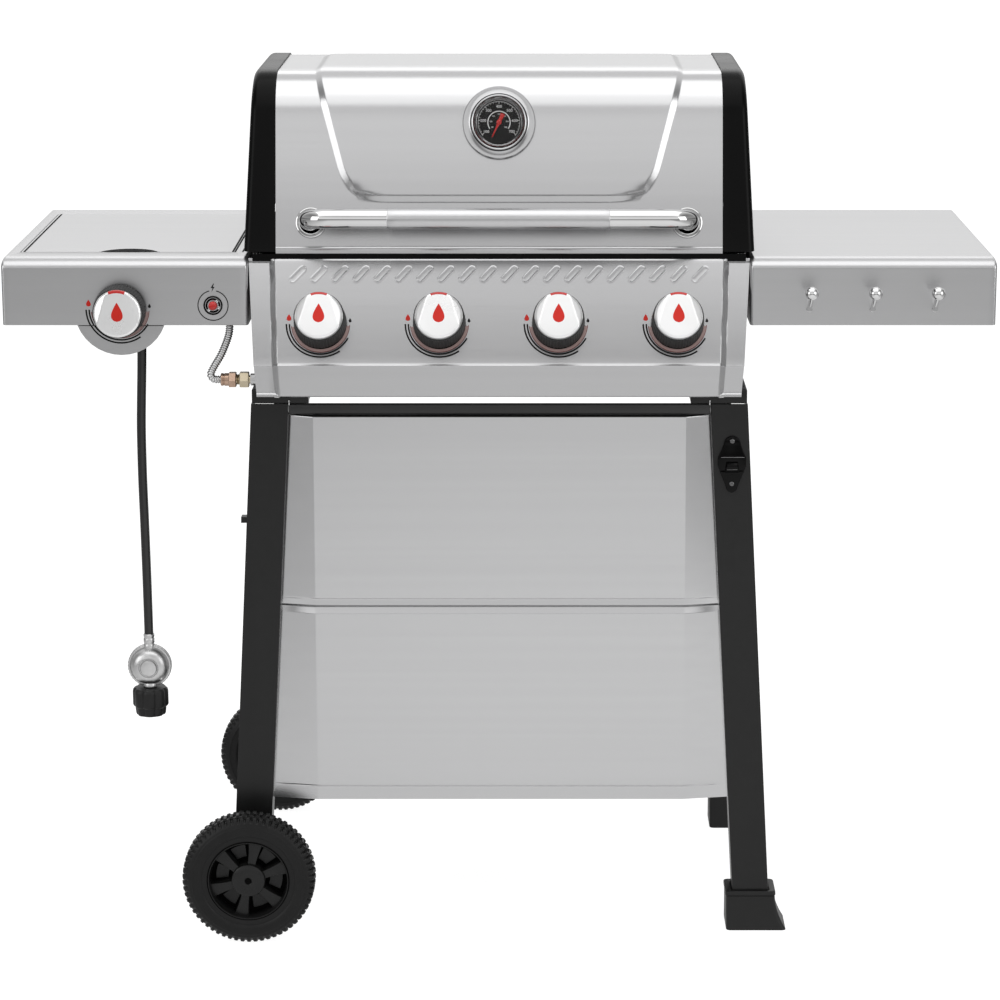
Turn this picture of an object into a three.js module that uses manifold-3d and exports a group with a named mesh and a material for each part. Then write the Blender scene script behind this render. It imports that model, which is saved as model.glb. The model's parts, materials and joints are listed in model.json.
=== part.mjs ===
// A gas barbecue grill on a wheeled cart, in millimetres, +Z up, with the front towards -Y.
// Four main burners sit in a firebox under a hinged lid; the left shelf holds a side burner.
// The finished group is centred over the middle of its footprint and stands on z = 0.
import * as THREE from "three";
import { mergeVertices } from "three/addons/utils/BufferGeometryUtils.js";
import Module from "manifold-3d";

const wasm = await Module();
wasm.setup();

const DEG = Math.PI / 180;

// ---------------------------------------------------------------- driving dimensions
const FIT = 0.3; // clearance where one piece seats in or on another
const SHEET = 2; // pressed sheet of shelves, panels and lid
const FOLD = 2.5; // heavier folded sheet of legs and control panel

// Width that the legs' tops, the control panel, the firebox, the lid and the shelves share
const BODY_HALF = 323;

// Cart
const CART_FRONT = -230; // outer faces of the front legs
const CART_BACK = 230; // outer faces of the rear legs
const LEG_TOP = 722;
const LEG_WIDTH = 48.5;
const LEG_DEPTH = 40;
const LEG_SPLAY = 0.056; // sideways run per millimetre of fall
const RAIL_TOP = LEG_TOP + 19; // top frame, which carries the firebox
const RAIL_REACH = 26; // how far its side rails reach inwards past the legs
const CROSSBAR_LOW = LEG_TOP - 13.2;
const PANEL_SPLIT = 451.5; // seam between the two front panels
const PANEL_TOP = CROSSBAR_LOW - 1.8;
const PANEL_LOW = 184.6;
const PANEL_SEAM = 2.6;
const BEVEL_INNER_HALF = BODY_HALF - 78; // half width of the raised field of each front panel
const FIELD_RISE = 12;
const PANEL_RETURN = 12; // depth of the lips turned back at its top and bottom
const SHELF_DECK = 200; // top of the bottom shelf
const SHELF_DECK_SKIRT = 22;

// Wheels and feet
const WHEEL_RADIUS = 88.8;
const WHEEL_WIDTH = 44;
const WEB_RECESS = 3; // depth of the pockets in the wheel's web, behind its middle plane
const WHEEL_FACE = 294; // outer face of each wheel, from the middle of the cart
const RIM_RADIUS = 55;
const HUB_RADIUS = 22.5;
const SPOKES = 6;
const AXLE_RADIUS = 5;
const BOOT_HEIGHT = 63;
const BOOT_FLOOR = 5.7;

// Control panel: y and z of its face's lower edge, crease and upper edge
const PANEL_TAPER = 12; // how much narrower each side is at its lower edge
const PANEL_HALF_LOW = BODY_HALF - PANEL_TAPER;
const FACE_LOW = [CART_FRONT - 54, RAIL_TOP + 0.5];
const FACE_CREASE = [FACE_LOW[0] - 4.6, FACE_LOW[1] + 41.5];
const FACE_TOP = [FACE_CREASE[0] + 61.1, FACE_CREASE[1] + 125];

// Firebox
const BOX_STEP = 5; // how far the firebox stands in from the ends of the control panel
const BOX_HALF = BODY_HALF - BOX_STEP;
const BOX_FRONT = CART_FRONT + 24;
const BOX_BACK = CART_BACK - 16;
const BOX_TOP = FACE_TOP[1] + 10;
const BOX_WALL = 4;
const BOX_END_WALL = 8;
const BOX_SHOULDER = RAIL_TOP + 49; // where the front and back walls turn in to the funnel
const FUNNEL_LOW = LEG_TOP - 10;
const FUNNEL_FRONT = 20;
const FUNNEL_BACK = 120;
const GRATE_LEDGE = BOX_TOP - 25;
const TAMER_LEDGE = GRATE_LEDGE - 50.3;

// Burners, valves and knobs
const BURNERS = 4;
const BURNER_MARGIN = 5.2; // between the end wall and the first burner's share of the width
const BURNER_PITCH = (2 * (BOX_HALF - BOX_END_WALL - BURNER_MARGIN)) / BURNERS;
const BURNER_HEIGHT = TAMER_LEDGE - 30.7;
const BURNER_RADIUS = 12;
const MANIFOLD = [BOX_FRONT - 16, FACE_LOW[1] + 11.5]; // y, z of the supply tube
const MANIFOLD_RADIUS = 8;
const KNOB_HEIGHT = FACE_CREASE[1] + 50.5; // where the knob axes meet the panel face
const KNOB_PUSH = 4;
const KNOB_GAP = KNOB_PUSH + 1; // between panel face and skirt
const SKIRT_RADIUS = 34;
const CAP_RADIUS = 31;
const SKIRT_LENGTH = 14;
const KNOB_LENGTH = 38;
const KNOB_FLAT = 20.4; // half width of the flat top at mid height
const KNOB_TAPER = 0.3; // how much narrower it gets towards 12 o'clock, per millimetre
const KNOB_FLANK = 0.42; // fall of the flanks beside it, per millimetre
const STEM_RADIUS = 4;
const VALVE_RADIUS = 11.5;

// Side shelves
const SHELF_ROOT = BODY_HALF + FIT;
const SHELF_LENGTH = 316.7;
const SHELF_TIP = SHELF_ROOT + SHELF_LENGTH;
const SHELF_TOP = BOX_TOP - 3.5;
const SHELF_DEPTH_FRONT = CART_FRONT - 10;
const SHELF_DEPTH_BACK = CART_BACK - 25;
const APRON_LOW = SHELF_TOP - 87;
const WELL_MARGIN = 17; // from the end of the shelf to the well
const WELL_ROOT_MARGIN = 19.7; // from the well to the shelf's root
const WELL = {
  left: WELL_MARGIN - SHELF_TIP,
  right: -SHELF_ROOT - WELL_ROOT_MARGIN,
  front: SHELF_DEPTH_FRONT + 53,
  back: SHELF_DEPTH_BACK - 43.5,
  floor: SHELF_TOP - 46.5,
};
const BURNER_CENTRE = [(WELL.left + WELL.right) / 2, WELL.front + 173];
const COVER_GAP = 1.5;
const COVER_DEPTH = 6.1;
const COVER_HINGE = [WELL.back - 8.5, SHELF_TOP - 5.5];
const SIDE_KNOB = [BURNER_CENTRE[0] - 5, APRON_LOW + 20.5];
const HALF_PLATE_RADIUS = 60;
const IGNITER = [-SHELF_ROOT - 45, APRON_LOW + 26];
const IGNITER_RADIUS = 9.6;
const HOOKS = [76.3, 157.7, 237.7].map((reach) => SHELF_ROOT + reach);
const HOOK_FOOT = APRON_LOW + 19.9;
const HOOK_BALL = [SHELF_DEPTH_FRONT - 35, HOOK_FOOT + 27.5];

// Lid
const LID_BOTTOM = BOX_TOP + 6;
const LID_CAP_HALF = BODY_HALF + 6;
const LID_CAP_WIDTH = 41;
const LID_SKIN_HALF = LID_CAP_HALF - LID_CAP_WIDTH;
const LID_FRONT_ARC = { y: BOX_FRONT + 80, z: LID_BOTTOM + 160, r: 60, lean: 12.5 * DEG };
const LID_BACK_ARC = { y: BOX_BACK - 129, z: LID_BOTTOM + 110, r: 110, lean: 11 * DEG };
const EMBOSS = 4.5;
const EMBOSS_TOP_HALF = LID_SKIN_HALF - 50;
const EMBOSS_LOW_HALF = EMBOSS_TOP_HALF - 67;
const EMBOSS_LOW = LID_BOTTOM + 61;
const CAP_PROUD = 2.5;
const CAP_DRAFT = 0.05;
const CAP_WALL = 3.5; // from the lid's outline inwards
const LID_HINGE = [BOX_BACK + 18, LID_BOTTOM + 6];
const HINGE_X = LID_CAP_HALF - 21; // outer face of the lid's ears
const HINGE_PIN = 4;
const HANDLE_HALF = LID_SKIN_HALF - 46; // middle of the grill to the middle of each handle foot
const HANDLE_FOOT_Z = LID_BOTTOM + 33;
const HANDLE_REACH = 71; // lid face to the middle of the bar
const HANDLE_BEND = 26;
const HANDLE_RADIUS = 12.4;
const GRIP_RADIUS = 13.2;
const GRIP_HALF = HANDLE_HALF - 101;
const BEZEL_RADIUS = 20;
const DIAL_Z = LID_BOTTOM + 159;
const DIAL_BEZEL = 46.5;
const DIAL_WELL = 33;
const NEEDLE_TURN = -25 * DEG;

// Gas line and hose
const HOSE_RADIUS = 6;
const HOSE_X = SIDE_KNOB[0] + 22;
const HOSE_TOP = APRON_LOW - 33.5;
const REGULATOR = [HOSE_X - 1.5, -202, 361];
const FERRULE_TOP = 405;
const NUT_TOP = 331.5;
const NUT_LOW = 293;
const FLEX_RADIUS = 4.7;

// Grates, rack and tray
const GRATE_THICK = 12;
const GRATE_BARS = 8;
const RACK_HEIGHT = BOX_TOP + 67;
const WIRE = 2.5;
const TRAY = { half: 108, front: 2, back: 198, low: FUNNEL_LOW - 22, high: FUNNEL_LOW - 4, rim: 3 };
const RUNNER_BACK = 203; // back end of the runners that hold the tray

// ---------------------------------------------------------------- materials
const finish = (color, roughness, metalness) =>
  new THREE.MeshStandardMaterial({ color, roughness, metalness });
const STEEL = finish(0xb9bbbd, 0.32, 1);
const CHROME = finish(0xd8dadc, 0.1, 1);
const BLACK_PAINT = finish(0x262626, 0.45, 0.2);
const CAST_BLACK = finish(0x111111, 0.35, 0.3);
const IRON = finish(0x1b1b1c, 0.7, 0.6);
const BRASS = finish(0x9a7a45, 0.35, 1);
const RUBBER = finish(0x161616, 0.8, 0);
const PLASTIC = finish(0x18181a, 0.5, 0);
const ZINC = finish(0x9fa2a4, 0.38, 1);
const RED = finish(0xb4281c, 0.4, 0);

// ---------------------------------------------------------------- shape helpers
// Turns a local drawing plane so that its extrusion runs along a world axis.
const TURN = {
  x: new THREE.Matrix4().makeBasis(
    new THREE.Vector3(0, 1, 0),
    new THREE.Vector3(0, 0, 1),
    new THREE.Vector3(1, 0, 0),
  ),
  y: new THREE.Matrix4().makeBasis(
    new THREE.Vector3(0, 0, 1),
    new THREE.Vector3(1, 0, 0),
    new THREE.Vector3(0, 1, 0),
  ),
  z: new THREE.Matrix4(),
};

const vec = (x, y, z) => new THREE.Vector3(x, y, z);

function toSolid(geometry) {
  const bare = geometry.clone();
  bare.deleteAttribute("normal");
  bare.deleteAttribute("uv");
  const merged = mergeVertices(bare, 1e-4);
  const vertProperties = new Float32Array(merged.attributes.position.array);
  const triVerts = new Uint32Array(merged.index.array);
  return new wasm.Manifold(new wasm.Mesh({ numProp: 3, vertProperties, triVerts }));
}

function toGeometry(solid) {
  const mesh = solid.getMesh();
  const geometry = new THREE.BufferGeometry();
  geometry.setAttribute("position", new THREE.BufferAttribute(mesh.vertProperties, 3));
  geometry.setIndex(new THREE.BufferAttribute(mesh.triVerts, 1));
  geometry.computeVertexNormals();
  return geometry;
}

const join = (...pieces) => toGeometry(pieces.map(toSolid).reduce((a, b) => a.add(b)));
const cut = (base, ...tools) =>
  toGeometry(tools.map(toSolid).reduce((a, b) => a.subtract(b), toSolid(base)));
const common = (a, b) => toGeometry(toSolid(a).intersect(toSolid(b)));

// A block between two corners.
function slab(x0, x1, y0, y1, z0, z1) {
  return new THREE.BoxGeometry(Math.abs(x1 - x0), Math.abs(y1 - y0), Math.abs(z1 - z0))
    .translate((x0 + x1) / 2, (y0 + y1) / 2, (z0 + z1) / 2);
}

// A round bar between two points.
function rod(radius, from, to, sides = 12) {
  const along = to.clone().sub(from);
  const turn = new THREE.Quaternion().setFromUnitVectors(vec(0, 1, 0), along.clone().normalize());
  return new THREE.CylinderGeometry(radius, radius, along.length(), sides)
    .applyQuaternion(turn)
    .translate(...from.clone().add(to).multiplyScalar(0.5).toArray());
}

// An outline extruded along x (points are y, z), y (points are x, z) or z (points are x, y).
function prism(axis, points, from, to, holes = []) {
  const point = ([a, b]) => (axis === "y" ? new THREE.Vector2(b, a) : new THREE.Vector2(a, b));
  const flat = (list) => list.map(point);
  const shape = new THREE.Shape(flat(points));
  shape.holes = holes.map((hole) => new THREE.Path(flat(hole)));
  return new THREE.ExtrudeGeometry(shape, { depth: to - from, bevelEnabled: false })
    .translate(0, 0, from)
    .applyMatrix4(TURN[axis]);
}

// A closed skin over rings of equally many [x, y, z] points, listed along the given axis.
function loft(axis, rings) {
  const level = { x: 0, y: 1, z: 2 }[axis];
  if (rings.at(-1)[0][level] < rings[0][0][level]) rings = [...rings].reverse();
  const drop = { x: [1, 2], y: [2, 0], z: [0, 1] }[axis];
  const outline = rings[0].map((p) => new THREE.Vector2(p[drop[0]], p[drop[1]]));
  if (THREE.ShapeUtils.area(outline) < 0) {
    outline.reverse();
    rings = rings.map((ring) => [...ring].reverse());
  }
  return skinOver(rings, outline);
}

// Side faces between the rings and a cap at each end; the flat outline says how to fill a cap.
function skinOver(rings, outline) {
  const count = outline.length;
  const last = (rings.length - 1) * count;
  const index = [];
  for (const [a, b, c] of THREE.ShapeUtils.triangulateShape(outline, [])) {
    index.push(a, c, b, last + a, last + b, last + c);
  }
  for (let ring = 0; ring < last; ring += count) {
    for (let i = 0; i < count; i++) {
      const next = (i + 1) % count;
      index.push(ring + i, ring + next, ring + count + next);
      index.push(ring + i, ring + count + next, ring + count + i);
    }
  }
  const geometry = new THREE.BufferGeometry();
  geometry.setAttribute("position", new THREE.Float32BufferAttribute(rings.flat(2), 3));
  geometry.setIndex(index);
  geometry.computeVertexNormals();
  return geometry;
}

// A profile of [radius, height] pairs turned about z.
const turned = (profile, sides) =>
  new THREE.LatheGeometry(profile.map(([r, h]) => new THREE.Vector2(r, h)), sides).rotateX(90 * DEG);

// A round tube swept along a smooth curve through the given points.
function sweep(radius, points, steps, sides = 8) {
  const ring = new THREE.Shape();
  for (let i = 0; i < sides; i++) {
    const angle = (i / sides) * 2 * Math.PI;
    const corner = [radius * Math.cos(angle), radius * Math.sin(angle)];
    if (i === 0) ring.moveTo(...corner);
    else ring.lineTo(...corner);
  }
  ring.closePath();
  const extrudePath = new THREE.CatmullRomCurve3(points, false, "centripetal");
  return new THREE.ExtrudeGeometry(ring, { steps, extrudePath, bevelEnabled: false });
}

// A round bar through the given points, with one ring of corners at each point.
function bentBar(radius, points, sides) {
  const rings = [];
  const across = vec(0, 0, 1);
  points.forEach((point, i) => {
    const along = (points[i + 1] ?? point).clone().sub(points[i - 1] ?? point).normalize();
    across.addScaledVector(along, -across.dot(along)).normalize();
    const third = along.clone().cross(across);
    const ring = [];
    for (let k = 0; k < sides; k++) {
      const angle = (k / sides) * 2 * Math.PI;
      const corner = point.clone()
        .addScaledVector(across, radius * Math.cos(angle))
        .addScaledVector(third, radius * Math.sin(angle));
      ring.push(corner.toArray());
    }
    rings.push(ring);
  });
  const outline = [];
  for (let k = 0; k < sides; k++) {
    const angle = (k / sides) * 2 * Math.PI;
    outline.push(new THREE.Vector2(Math.cos(angle), Math.sin(angle)));
  }
  return skinOver(rings, outline);
}

// A rectangle with cut corners, as [x, y] points.
function chamfered(x0, x1, y0, y1, corner) {
  return [
    [x0 + corner, y0],
    [x1 - corner, y0],
    [x1, y0 + corner],
    [x1, y1 - corner],
    [x1 - corner, y1],
    [x0 + corner, y1],
    [x0, y1 - corner],
    [x0, y0 + corner],
  ];
}

const atHeight = (outline, z) => outline.map(([x, y]) => [x, y, z]);

// ---------------------------------------------------------------- assembly helpers
const grill = new THREE.Group();

function add(name, geometry, material, parent = grill) {
  const mesh = new THREE.Mesh(geometry, material);
  mesh.name = name;
  parent.add(mesh);
  return mesh;
}

// ---------------------------------------------------------------- cart
const legOuter = (z) => BODY_HALF + (LEG_TOP - z) * LEG_SPLAY;
const legInner = (z) => legOuter(z) - LEG_WIDTH;
const legMiddle = (z) => legOuter(z) - LEG_WIDTH / 2;
const railInner = legInner(LEG_TOP) - RAIL_REACH;
const axleX = -legMiddle(WHEEL_RADIUS);
const axleAt = (y) => vec(axleX, y, WHEEL_RADIUS);

// A folded channel, open towards the inside of the cart.
function leg(side, face, low) {
  const inward = -Math.sign(face);
  const back = face + inward * LEG_DEPTH;
  const web = face + inward * FOLD;
  const section = (z) => {
    const [o, i] = [side * legOuter(z), side * legInner(z)];
    const wall = side * FOLD;
    return [
      [i, face],
      [o, face],
      [o, back],
      [o - wall, back],
      [o - wall, web],
      [i + wall, web],
      [i + wall, back],
      [i, back],
    ];
  };
  return loft("z", [low, LEG_TOP].map((z) => atHeight(section(z), z)));
}

function addCart() {
  const axleHole = rod(AXLE_RADIUS + FIT, axleAt(CART_FRONT - 5), axleAt(CART_BACK + 5), 16);
  const tab = slab(-legOuter(568) - 13, -legOuter(568) + FOLD, CART_FRONT + 4, CART_FRONT + 18, 562, 570);
  const leftLow = WHEEL_RADIUS - 26;
  add("leg_front_left", join(cut(leg(-1, CART_FRONT, leftLow), axleHole), tab), BLACK_PAINT);
  add("leg_rear_left", cut(leg(-1, CART_BACK, leftLow), axleHole), BLACK_PAINT);
  add("leg_front_right", leg(1, CART_FRONT, BOOT_FLOOR + FIT), BLACK_PAINT);
  add("leg_rear_right", leg(1, CART_BACK, BOOT_FLOOR + FIT), BLACK_PAINT);

  // Top frame: two rails over the legs, joined by a crossbar at the front and one at the back.
  const railLow = LEG_TOP + FIT;
  const barHalf = legInner(LEG_TOP) - FIT;
  const rail = (side) =>
    slab(side * railInner, side * (BODY_HALF - 1), CART_FRONT + 1, CART_BACK - 1, railLow, RAIL_TOP);
  const bar = (y0, y1) => slab(-barHalf, barHalf, y0, y1, CROSSBAR_LOW, railLow + 1);
  const frame = join(
    rail(-1),
    rail(1),
    bar(CART_FRONT, CART_FRONT + 26),
    bar(CART_BACK - 26, CART_BACK),
  );
  add("top_frame", frame, BLACK_PAINT);

  // Bottom shelf: a pressed deck with a turned-down skirt, held between the legs.
  const deckHalf = legMiddle(SHELF_DECK);
  const deckReach = CART_BACK - LEG_DEPTH - FIT;
  const deck = cut(
    slab(-deckHalf, deckHalf, -deckReach, deckReach, SHELF_DECK - SHELF_DECK_SKIRT, SHELF_DECK),
    slab(
      -deckHalf + SHEET, deckHalf - SHEET, -deckReach + SHEET, deckReach - SHEET,
      SHELF_DECK - SHELF_DECK_SKIRT - 1, SHELF_DECK - SHEET,
    ),
  );
  add("bottom_shelf", deck, BLACK_PAINT);

  add("front_panel_upper", frontPanel(PANEL_SPLIT + PANEL_SEAM / 2, PANEL_TOP), STEEL);
  add("front_panel_lower", frontPanel(PANEL_LOW, PANEL_SPLIT - PANEL_SEAM / 2), STEEL);
  add("bottle_opener", bottleOpener(), CAST_BLACK);
}

// A pressed front with a raised field: bevels at both sides, top and bottom lips turned back.
function frontPanel(low, high) {
  const base = CART_FRONT + 10;
  const step = 9;
  const section = (z, rise) => {
    const edge = legInner(z) - FIT;
    const front = base - rise;
    return [
      [-edge, base],
      [-BEVEL_INNER_HALF, front],
      [BEVEL_INNER_HALF, front],
      [edge, base],
      [edge, base + SHEET],
      [BEVEL_INNER_HALF - 1, front + SHEET],
      [-BEVEL_INNER_HALF + 1, front + SHEET],
      [-edge, base + SHEET],
    ];
  };
  const levels = [
    [low, FIELD_RISE / 2],
    [low + step, FIELD_RISE],
    [high - step, FIELD_RISE],
    [high, FIELD_RISE / 2],
  ];
  const skin = loft("z", levels.map(([z, rise]) => atHeight(section(z, rise), z)));
  const lip = (z0, z1) => {
    const edge = legInner(z1) - FIT - 1;
    const front = base - FIELD_RISE / 2 + SHEET / 2;
    const outline = [
      [-edge, base + SHEET / 2],
      [-BEVEL_INNER_HALF, front],
      [BEVEL_INNER_HALF, front],
      [edge, base + SHEET / 2],
      [edge, base + PANEL_RETURN],
      [-edge, base + PANEL_RETURN],
    ];
    return prism("z", outline, z0, z1);
  };
  return join(skin, lip(low, low + SHEET), lip(high - SHEET, high));
}

function bottleOpener() {
  const z0 = 604.5;
  const z1 = 679.7;
  const middle = legMiddle((z0 + z1) / 2);
  const back = CART_FRONT - FIT;
  const plate = prism(
    "y",
    chamfered(middle - 22, middle + 22, z0, z1, 9),
    back - 3,
    back,
  );
  const jaw = prism(
    "x",
    [
      [back - 1, 661],
      [back - 17, 655],
      [back - 17, 651],
      [back - 6, 645],
      [back - 14, 636],
      [back - 12, 630],
      [back - 1, 628],
    ],
    middle - 15,
    middle + 15,
  );
  return join(plate, jaw);
}

function addWheelsAndFeet() {
  const reach = WHEEL_FACE - 3;
  add("wheel_axle", rod(AXLE_RADIUS, axleAt(-reach), axleAt(reach), 16), ZINC);

  // Tyre, rim and hub are one moulding; the hub is longer on the inside and spaces the wheel off.
  const half = WHEEL_WIDTH / 2;
  const bore = AXLE_RADIUS + FIT;
  const boss = WHEEL_FACE - half - CART_BACK - FIT;
  const moulding = turned(
    [
      [bore, -boss],
      [HUB_RADIUS - 8, -boss],
      [HUB_RADIUS, -8],
      [RIM_RADIUS - 3, -8],
      [RIM_RADIUS, -half + 3],
      [RIM_RADIUS + 12, -half],
      [WHEEL_RADIUS - 10, -half + 2],
      [WHEEL_RADIUS, -half + 12],
      [WHEEL_RADIUS, half - 12],
      [WHEEL_RADIUS - 10, half - 2],
      [RIM_RADIUS + 12, half],
      [RIM_RADIUS - 2, half - 3],
      [RIM_RADIUS - 3, 6],
      [HUB_RADIUS, 10],
      [HUB_RADIUS, half - 4],
      [bore, half - 4],
      [bore, -boss],
    ],
    24,
  );
  const windows = [];
  for (let i = 0; i < SPOKES; i++) {
    const middle = (i + 0.5) * (360 / SPOKES) + 19.5;
    const corner = (radius, offset) => {
      const angle = (middle + offset) * DEG;
      return [radius * Math.cos(angle), radius * Math.sin(angle)];
    };
    const outline = [
      corner(HUB_RADIUS + 3, -16),
      corner(RIM_RADIUS - 6, -20),
      corner(RIM_RADIUS - 6, 20),
      corner(HUB_RADIUS + 3, 16),
    ];
    windows.push(prism("z", outline, -WEB_RECESS, half));
  }
  const wheel = cut(moulding, ...windows);
  const place = (name, face) => {
    const hub = new THREE.Group();
    hub.position.set(axleX, face * (WHEEL_FACE - half), WHEEL_RADIUS);
    hub.rotation.x = face < 0 ? 90 * DEG : -90 * DEG;
    grill.add(hub);
    add(name, wheel, RUBBER, hub);
  };
  place("wheel_front", -1);
  place("wheel_rear", 1);

  for (const [name, face] of [["foot_front_right", CART_FRONT], ["foot_rear_right", CART_BACK]]) {
    add(name, boot(face), PLASTIC);
  }
}

// A moulded boot: straight on the inside, flared on the outside, with a thick rim at the top.
function boot(face) {
  const out = Math.sign(face);
  const ring = (z, inner, outer, front, back) => {
    const a = legInner(z) - inner;
    const b = legOuter(z) + outer;
    const y0 = face + out * front;
    const y1 = face - out * (LEG_DEPTH + back);
    return atHeight(chamfered(a, b, Math.min(y0, y1), Math.max(y0, y1), 5), z);
  };
  const shell = loft("z", [
    ring(0, 14, 20, 14, 14),
    ring(7, 13, 19, 13, 13),
    ring(49, 9, 8, 8, 8),
    ring(52, 11, 10, 10, 10),
    ring(BOOT_HEIGHT, 11, 10, 10, 10),
  ]);
  const socket = (z) => {
    const a = legInner(z) - FIT;
    const b = legOuter(z) + FIT;
    const y0 = face + out * FIT;
    const y1 = face - out * (LEG_DEPTH + FIT);
    return [[a, y0, z], [b, y0, z], [b, y1, z], [a, y1, z]];
  };
  return cut(shell, loft("z", [socket(BOOT_FLOOR), socket(BOOT_HEIGHT + 1)]));
}

// ---------------------------------------------------------------- firebox
const burnerX = [...Array(BURNERS).keys()].map((i) => (i - (BURNERS - 1) / 2) * BURNER_PITCH);

function addFirebox() {
  const outline = (inset) => [
    [BOX_FRONT + inset, BOX_TOP + (inset ? 1 : 0)],
    [BOX_FRONT + inset, BOX_SHOULDER + inset * 0.8],
    [FUNNEL_FRONT + inset * 0.5, FUNNEL_LOW + inset],
    [FUNNEL_BACK - inset * 0.5, FUNNEL_LOW + inset],
    [BOX_BACK - inset, BOX_SHOULDER + inset * 0.8],
    [BOX_BACK - inset, BOX_TOP + (inset ? 1 : 0)],
  ];
  const inner = BOX_HALF - BOX_END_WALL;
  // full width above the rails of the top frame, a narrower hopper between them
  const hopper = railInner - 8;
  const form = (inset, half, hopperHalf) =>
    join(
      common(
        prism("x", outline(inset), -half, half),
        slab(-half, half, BOX_FRONT, BOX_BACK, RAIL_TOP + 5 + inset, BOX_TOP + 2),
      ),
      prism("x", outline(inset), -hopperHalf, hopperHalf),
    );
  const box = cut(
    form(0, BOX_HALF, hopper),
    form(BOX_WALL, inner, hopper - BOX_WALL),
    slab(-100, 100, FUNNEL_FRONT + 10, FUNNEL_BACK - 10, FUNNEL_LOW - 1, FUNNEL_LOW + BOX_WALL + 1),
    ...burnerX.map((x) => {
      const front = vec(x, BOX_FRONT - 5, BURNER_HEIGHT);
      const back = vec(x, BOX_FRONT + 8, BURNER_HEIGHT);
      return rod(BURNER_RADIUS + FIT, front, back, 12);
    }),
  );
  const insideFront = BOX_FRONT + BOX_WALL;
  const insideBack = BOX_BACK - BOX_WALL;
  const ledge = (y0, y1, top, thick) => slab(-inner - 1, inner + 1, y0, y1, top - thick, top);
  const parts = [
    ledge(insideFront - 1, insideFront + 12, GRATE_LEDGE, 3),
    ledge(insideBack - 12, insideBack + 1, GRATE_LEDGE, 3),
    ledge(insideFront - 1, insideFront + 14, TAMER_LEDGE, 4),
    ledge(insideBack - 14, insideBack + 1, TAMER_LEDGE, 4),
    // the lip over the control panel
    slab(-BOX_HALF, BOX_HALF, BOX_FRONT - 18, BOX_FRONT + 1, FACE_TOP[1] + FIT, BOX_TOP),
  ];
  for (const side of [-1, 1]) {
    const end = side * BOX_HALF;
    // feet on the rails of the top frame, and bosses that carry the side shelves
    const bossZ = SHELF_TOP - 34.5;
    for (const y of [-170, 170]) {
      const bossEnd = vec(side * (SHELF_ROOT - FIT), y - 12, bossZ);
      parts.push(slab(end, end - side * 24, y - 22, y + 22, RAIL_TOP + FIT, BOX_SHOULDER + 30));
      parts.push(rod(9, vec(end - side, y - 12, bossZ), bossEnd, 8));
    }
    parts.push(hingePost(side));
    // runners under the funnel hold the grease tray by its rims
    const x0 = side * (TRAY.half + FIT);
    const x1 = side * (TRAY.half + 8);
    parts.push(slab(x0, x1, FUNNEL_FRONT + 2, RUNNER_BACK, TRAY.low + 8, FUNNEL_LOW + 1));
    parts.push(
      slab(x0 - side * 6, x1, FUNNEL_FRONT + 2, RUNNER_BACK, TRAY.low + 8, TRAY.high - TRAY.rim - FIT),
    );
  }
  add("firebox", join(box, ...parts), CAST_BLACK);
}

// A post behind the back wall with a stud that the lid's ear turns on.
function hingePost(side) {
  const [y, z] = LID_HINGE;
  const x0 = side * (HINGE_X + FIT);
  const x1 = side * (HINGE_X + 6);
  const low = BOX_TOP - 50;
  const round = 7;
  const plate = slab(x0, x1, y - round, y + round, low + 16, z);
  const arm = slab(x0, x1, BOX_BACK - 1, y + round, low, low + 20);
  const knuckle = rod(round, vec(x0, y, z), vec(x1, y, z), 16);
  const stud = rod(HINGE_PIN, vec(side * (HINGE_X - 8), y, z), vec(x1, y, z), 12);
  return join(plate, arm, knuckle, stud);
}

function addBurners() {
  const rear = BOX_BACK - BOX_WALL - FIT;
  const half = 46;
  burnerX.forEach((x, i) => {
    const at = (y) => vec(x, y, BURNER_HEIGHT);
    const tube = cut(
      rod(BURNER_RADIUS, at(BOX_FRONT - 3), at(190), 12),
      rod(BURNER_RADIUS - 3, at(BOX_FRONT - 4), at(-110), 8),
    );
    add(`burner_${i + 1}`, join(tube, rod(4, at(189), at(rear), 8)), STEEL);

    const z = TAMER_LEDGE + FIT;
    const roof = [
      [x - half, z],
      [x - half, z + 3],
      [x, z + 30],
      [x + half, z + 3],
      [x + half, z],
      [x, z + 27],
    ];
    add(`flame_tamer_${i + 1}`, prism("y", roof, BOX_FRONT + BOX_WALL + 4, BOX_BACK - BOX_WALL - 4), STEEL);
  });
}

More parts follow.
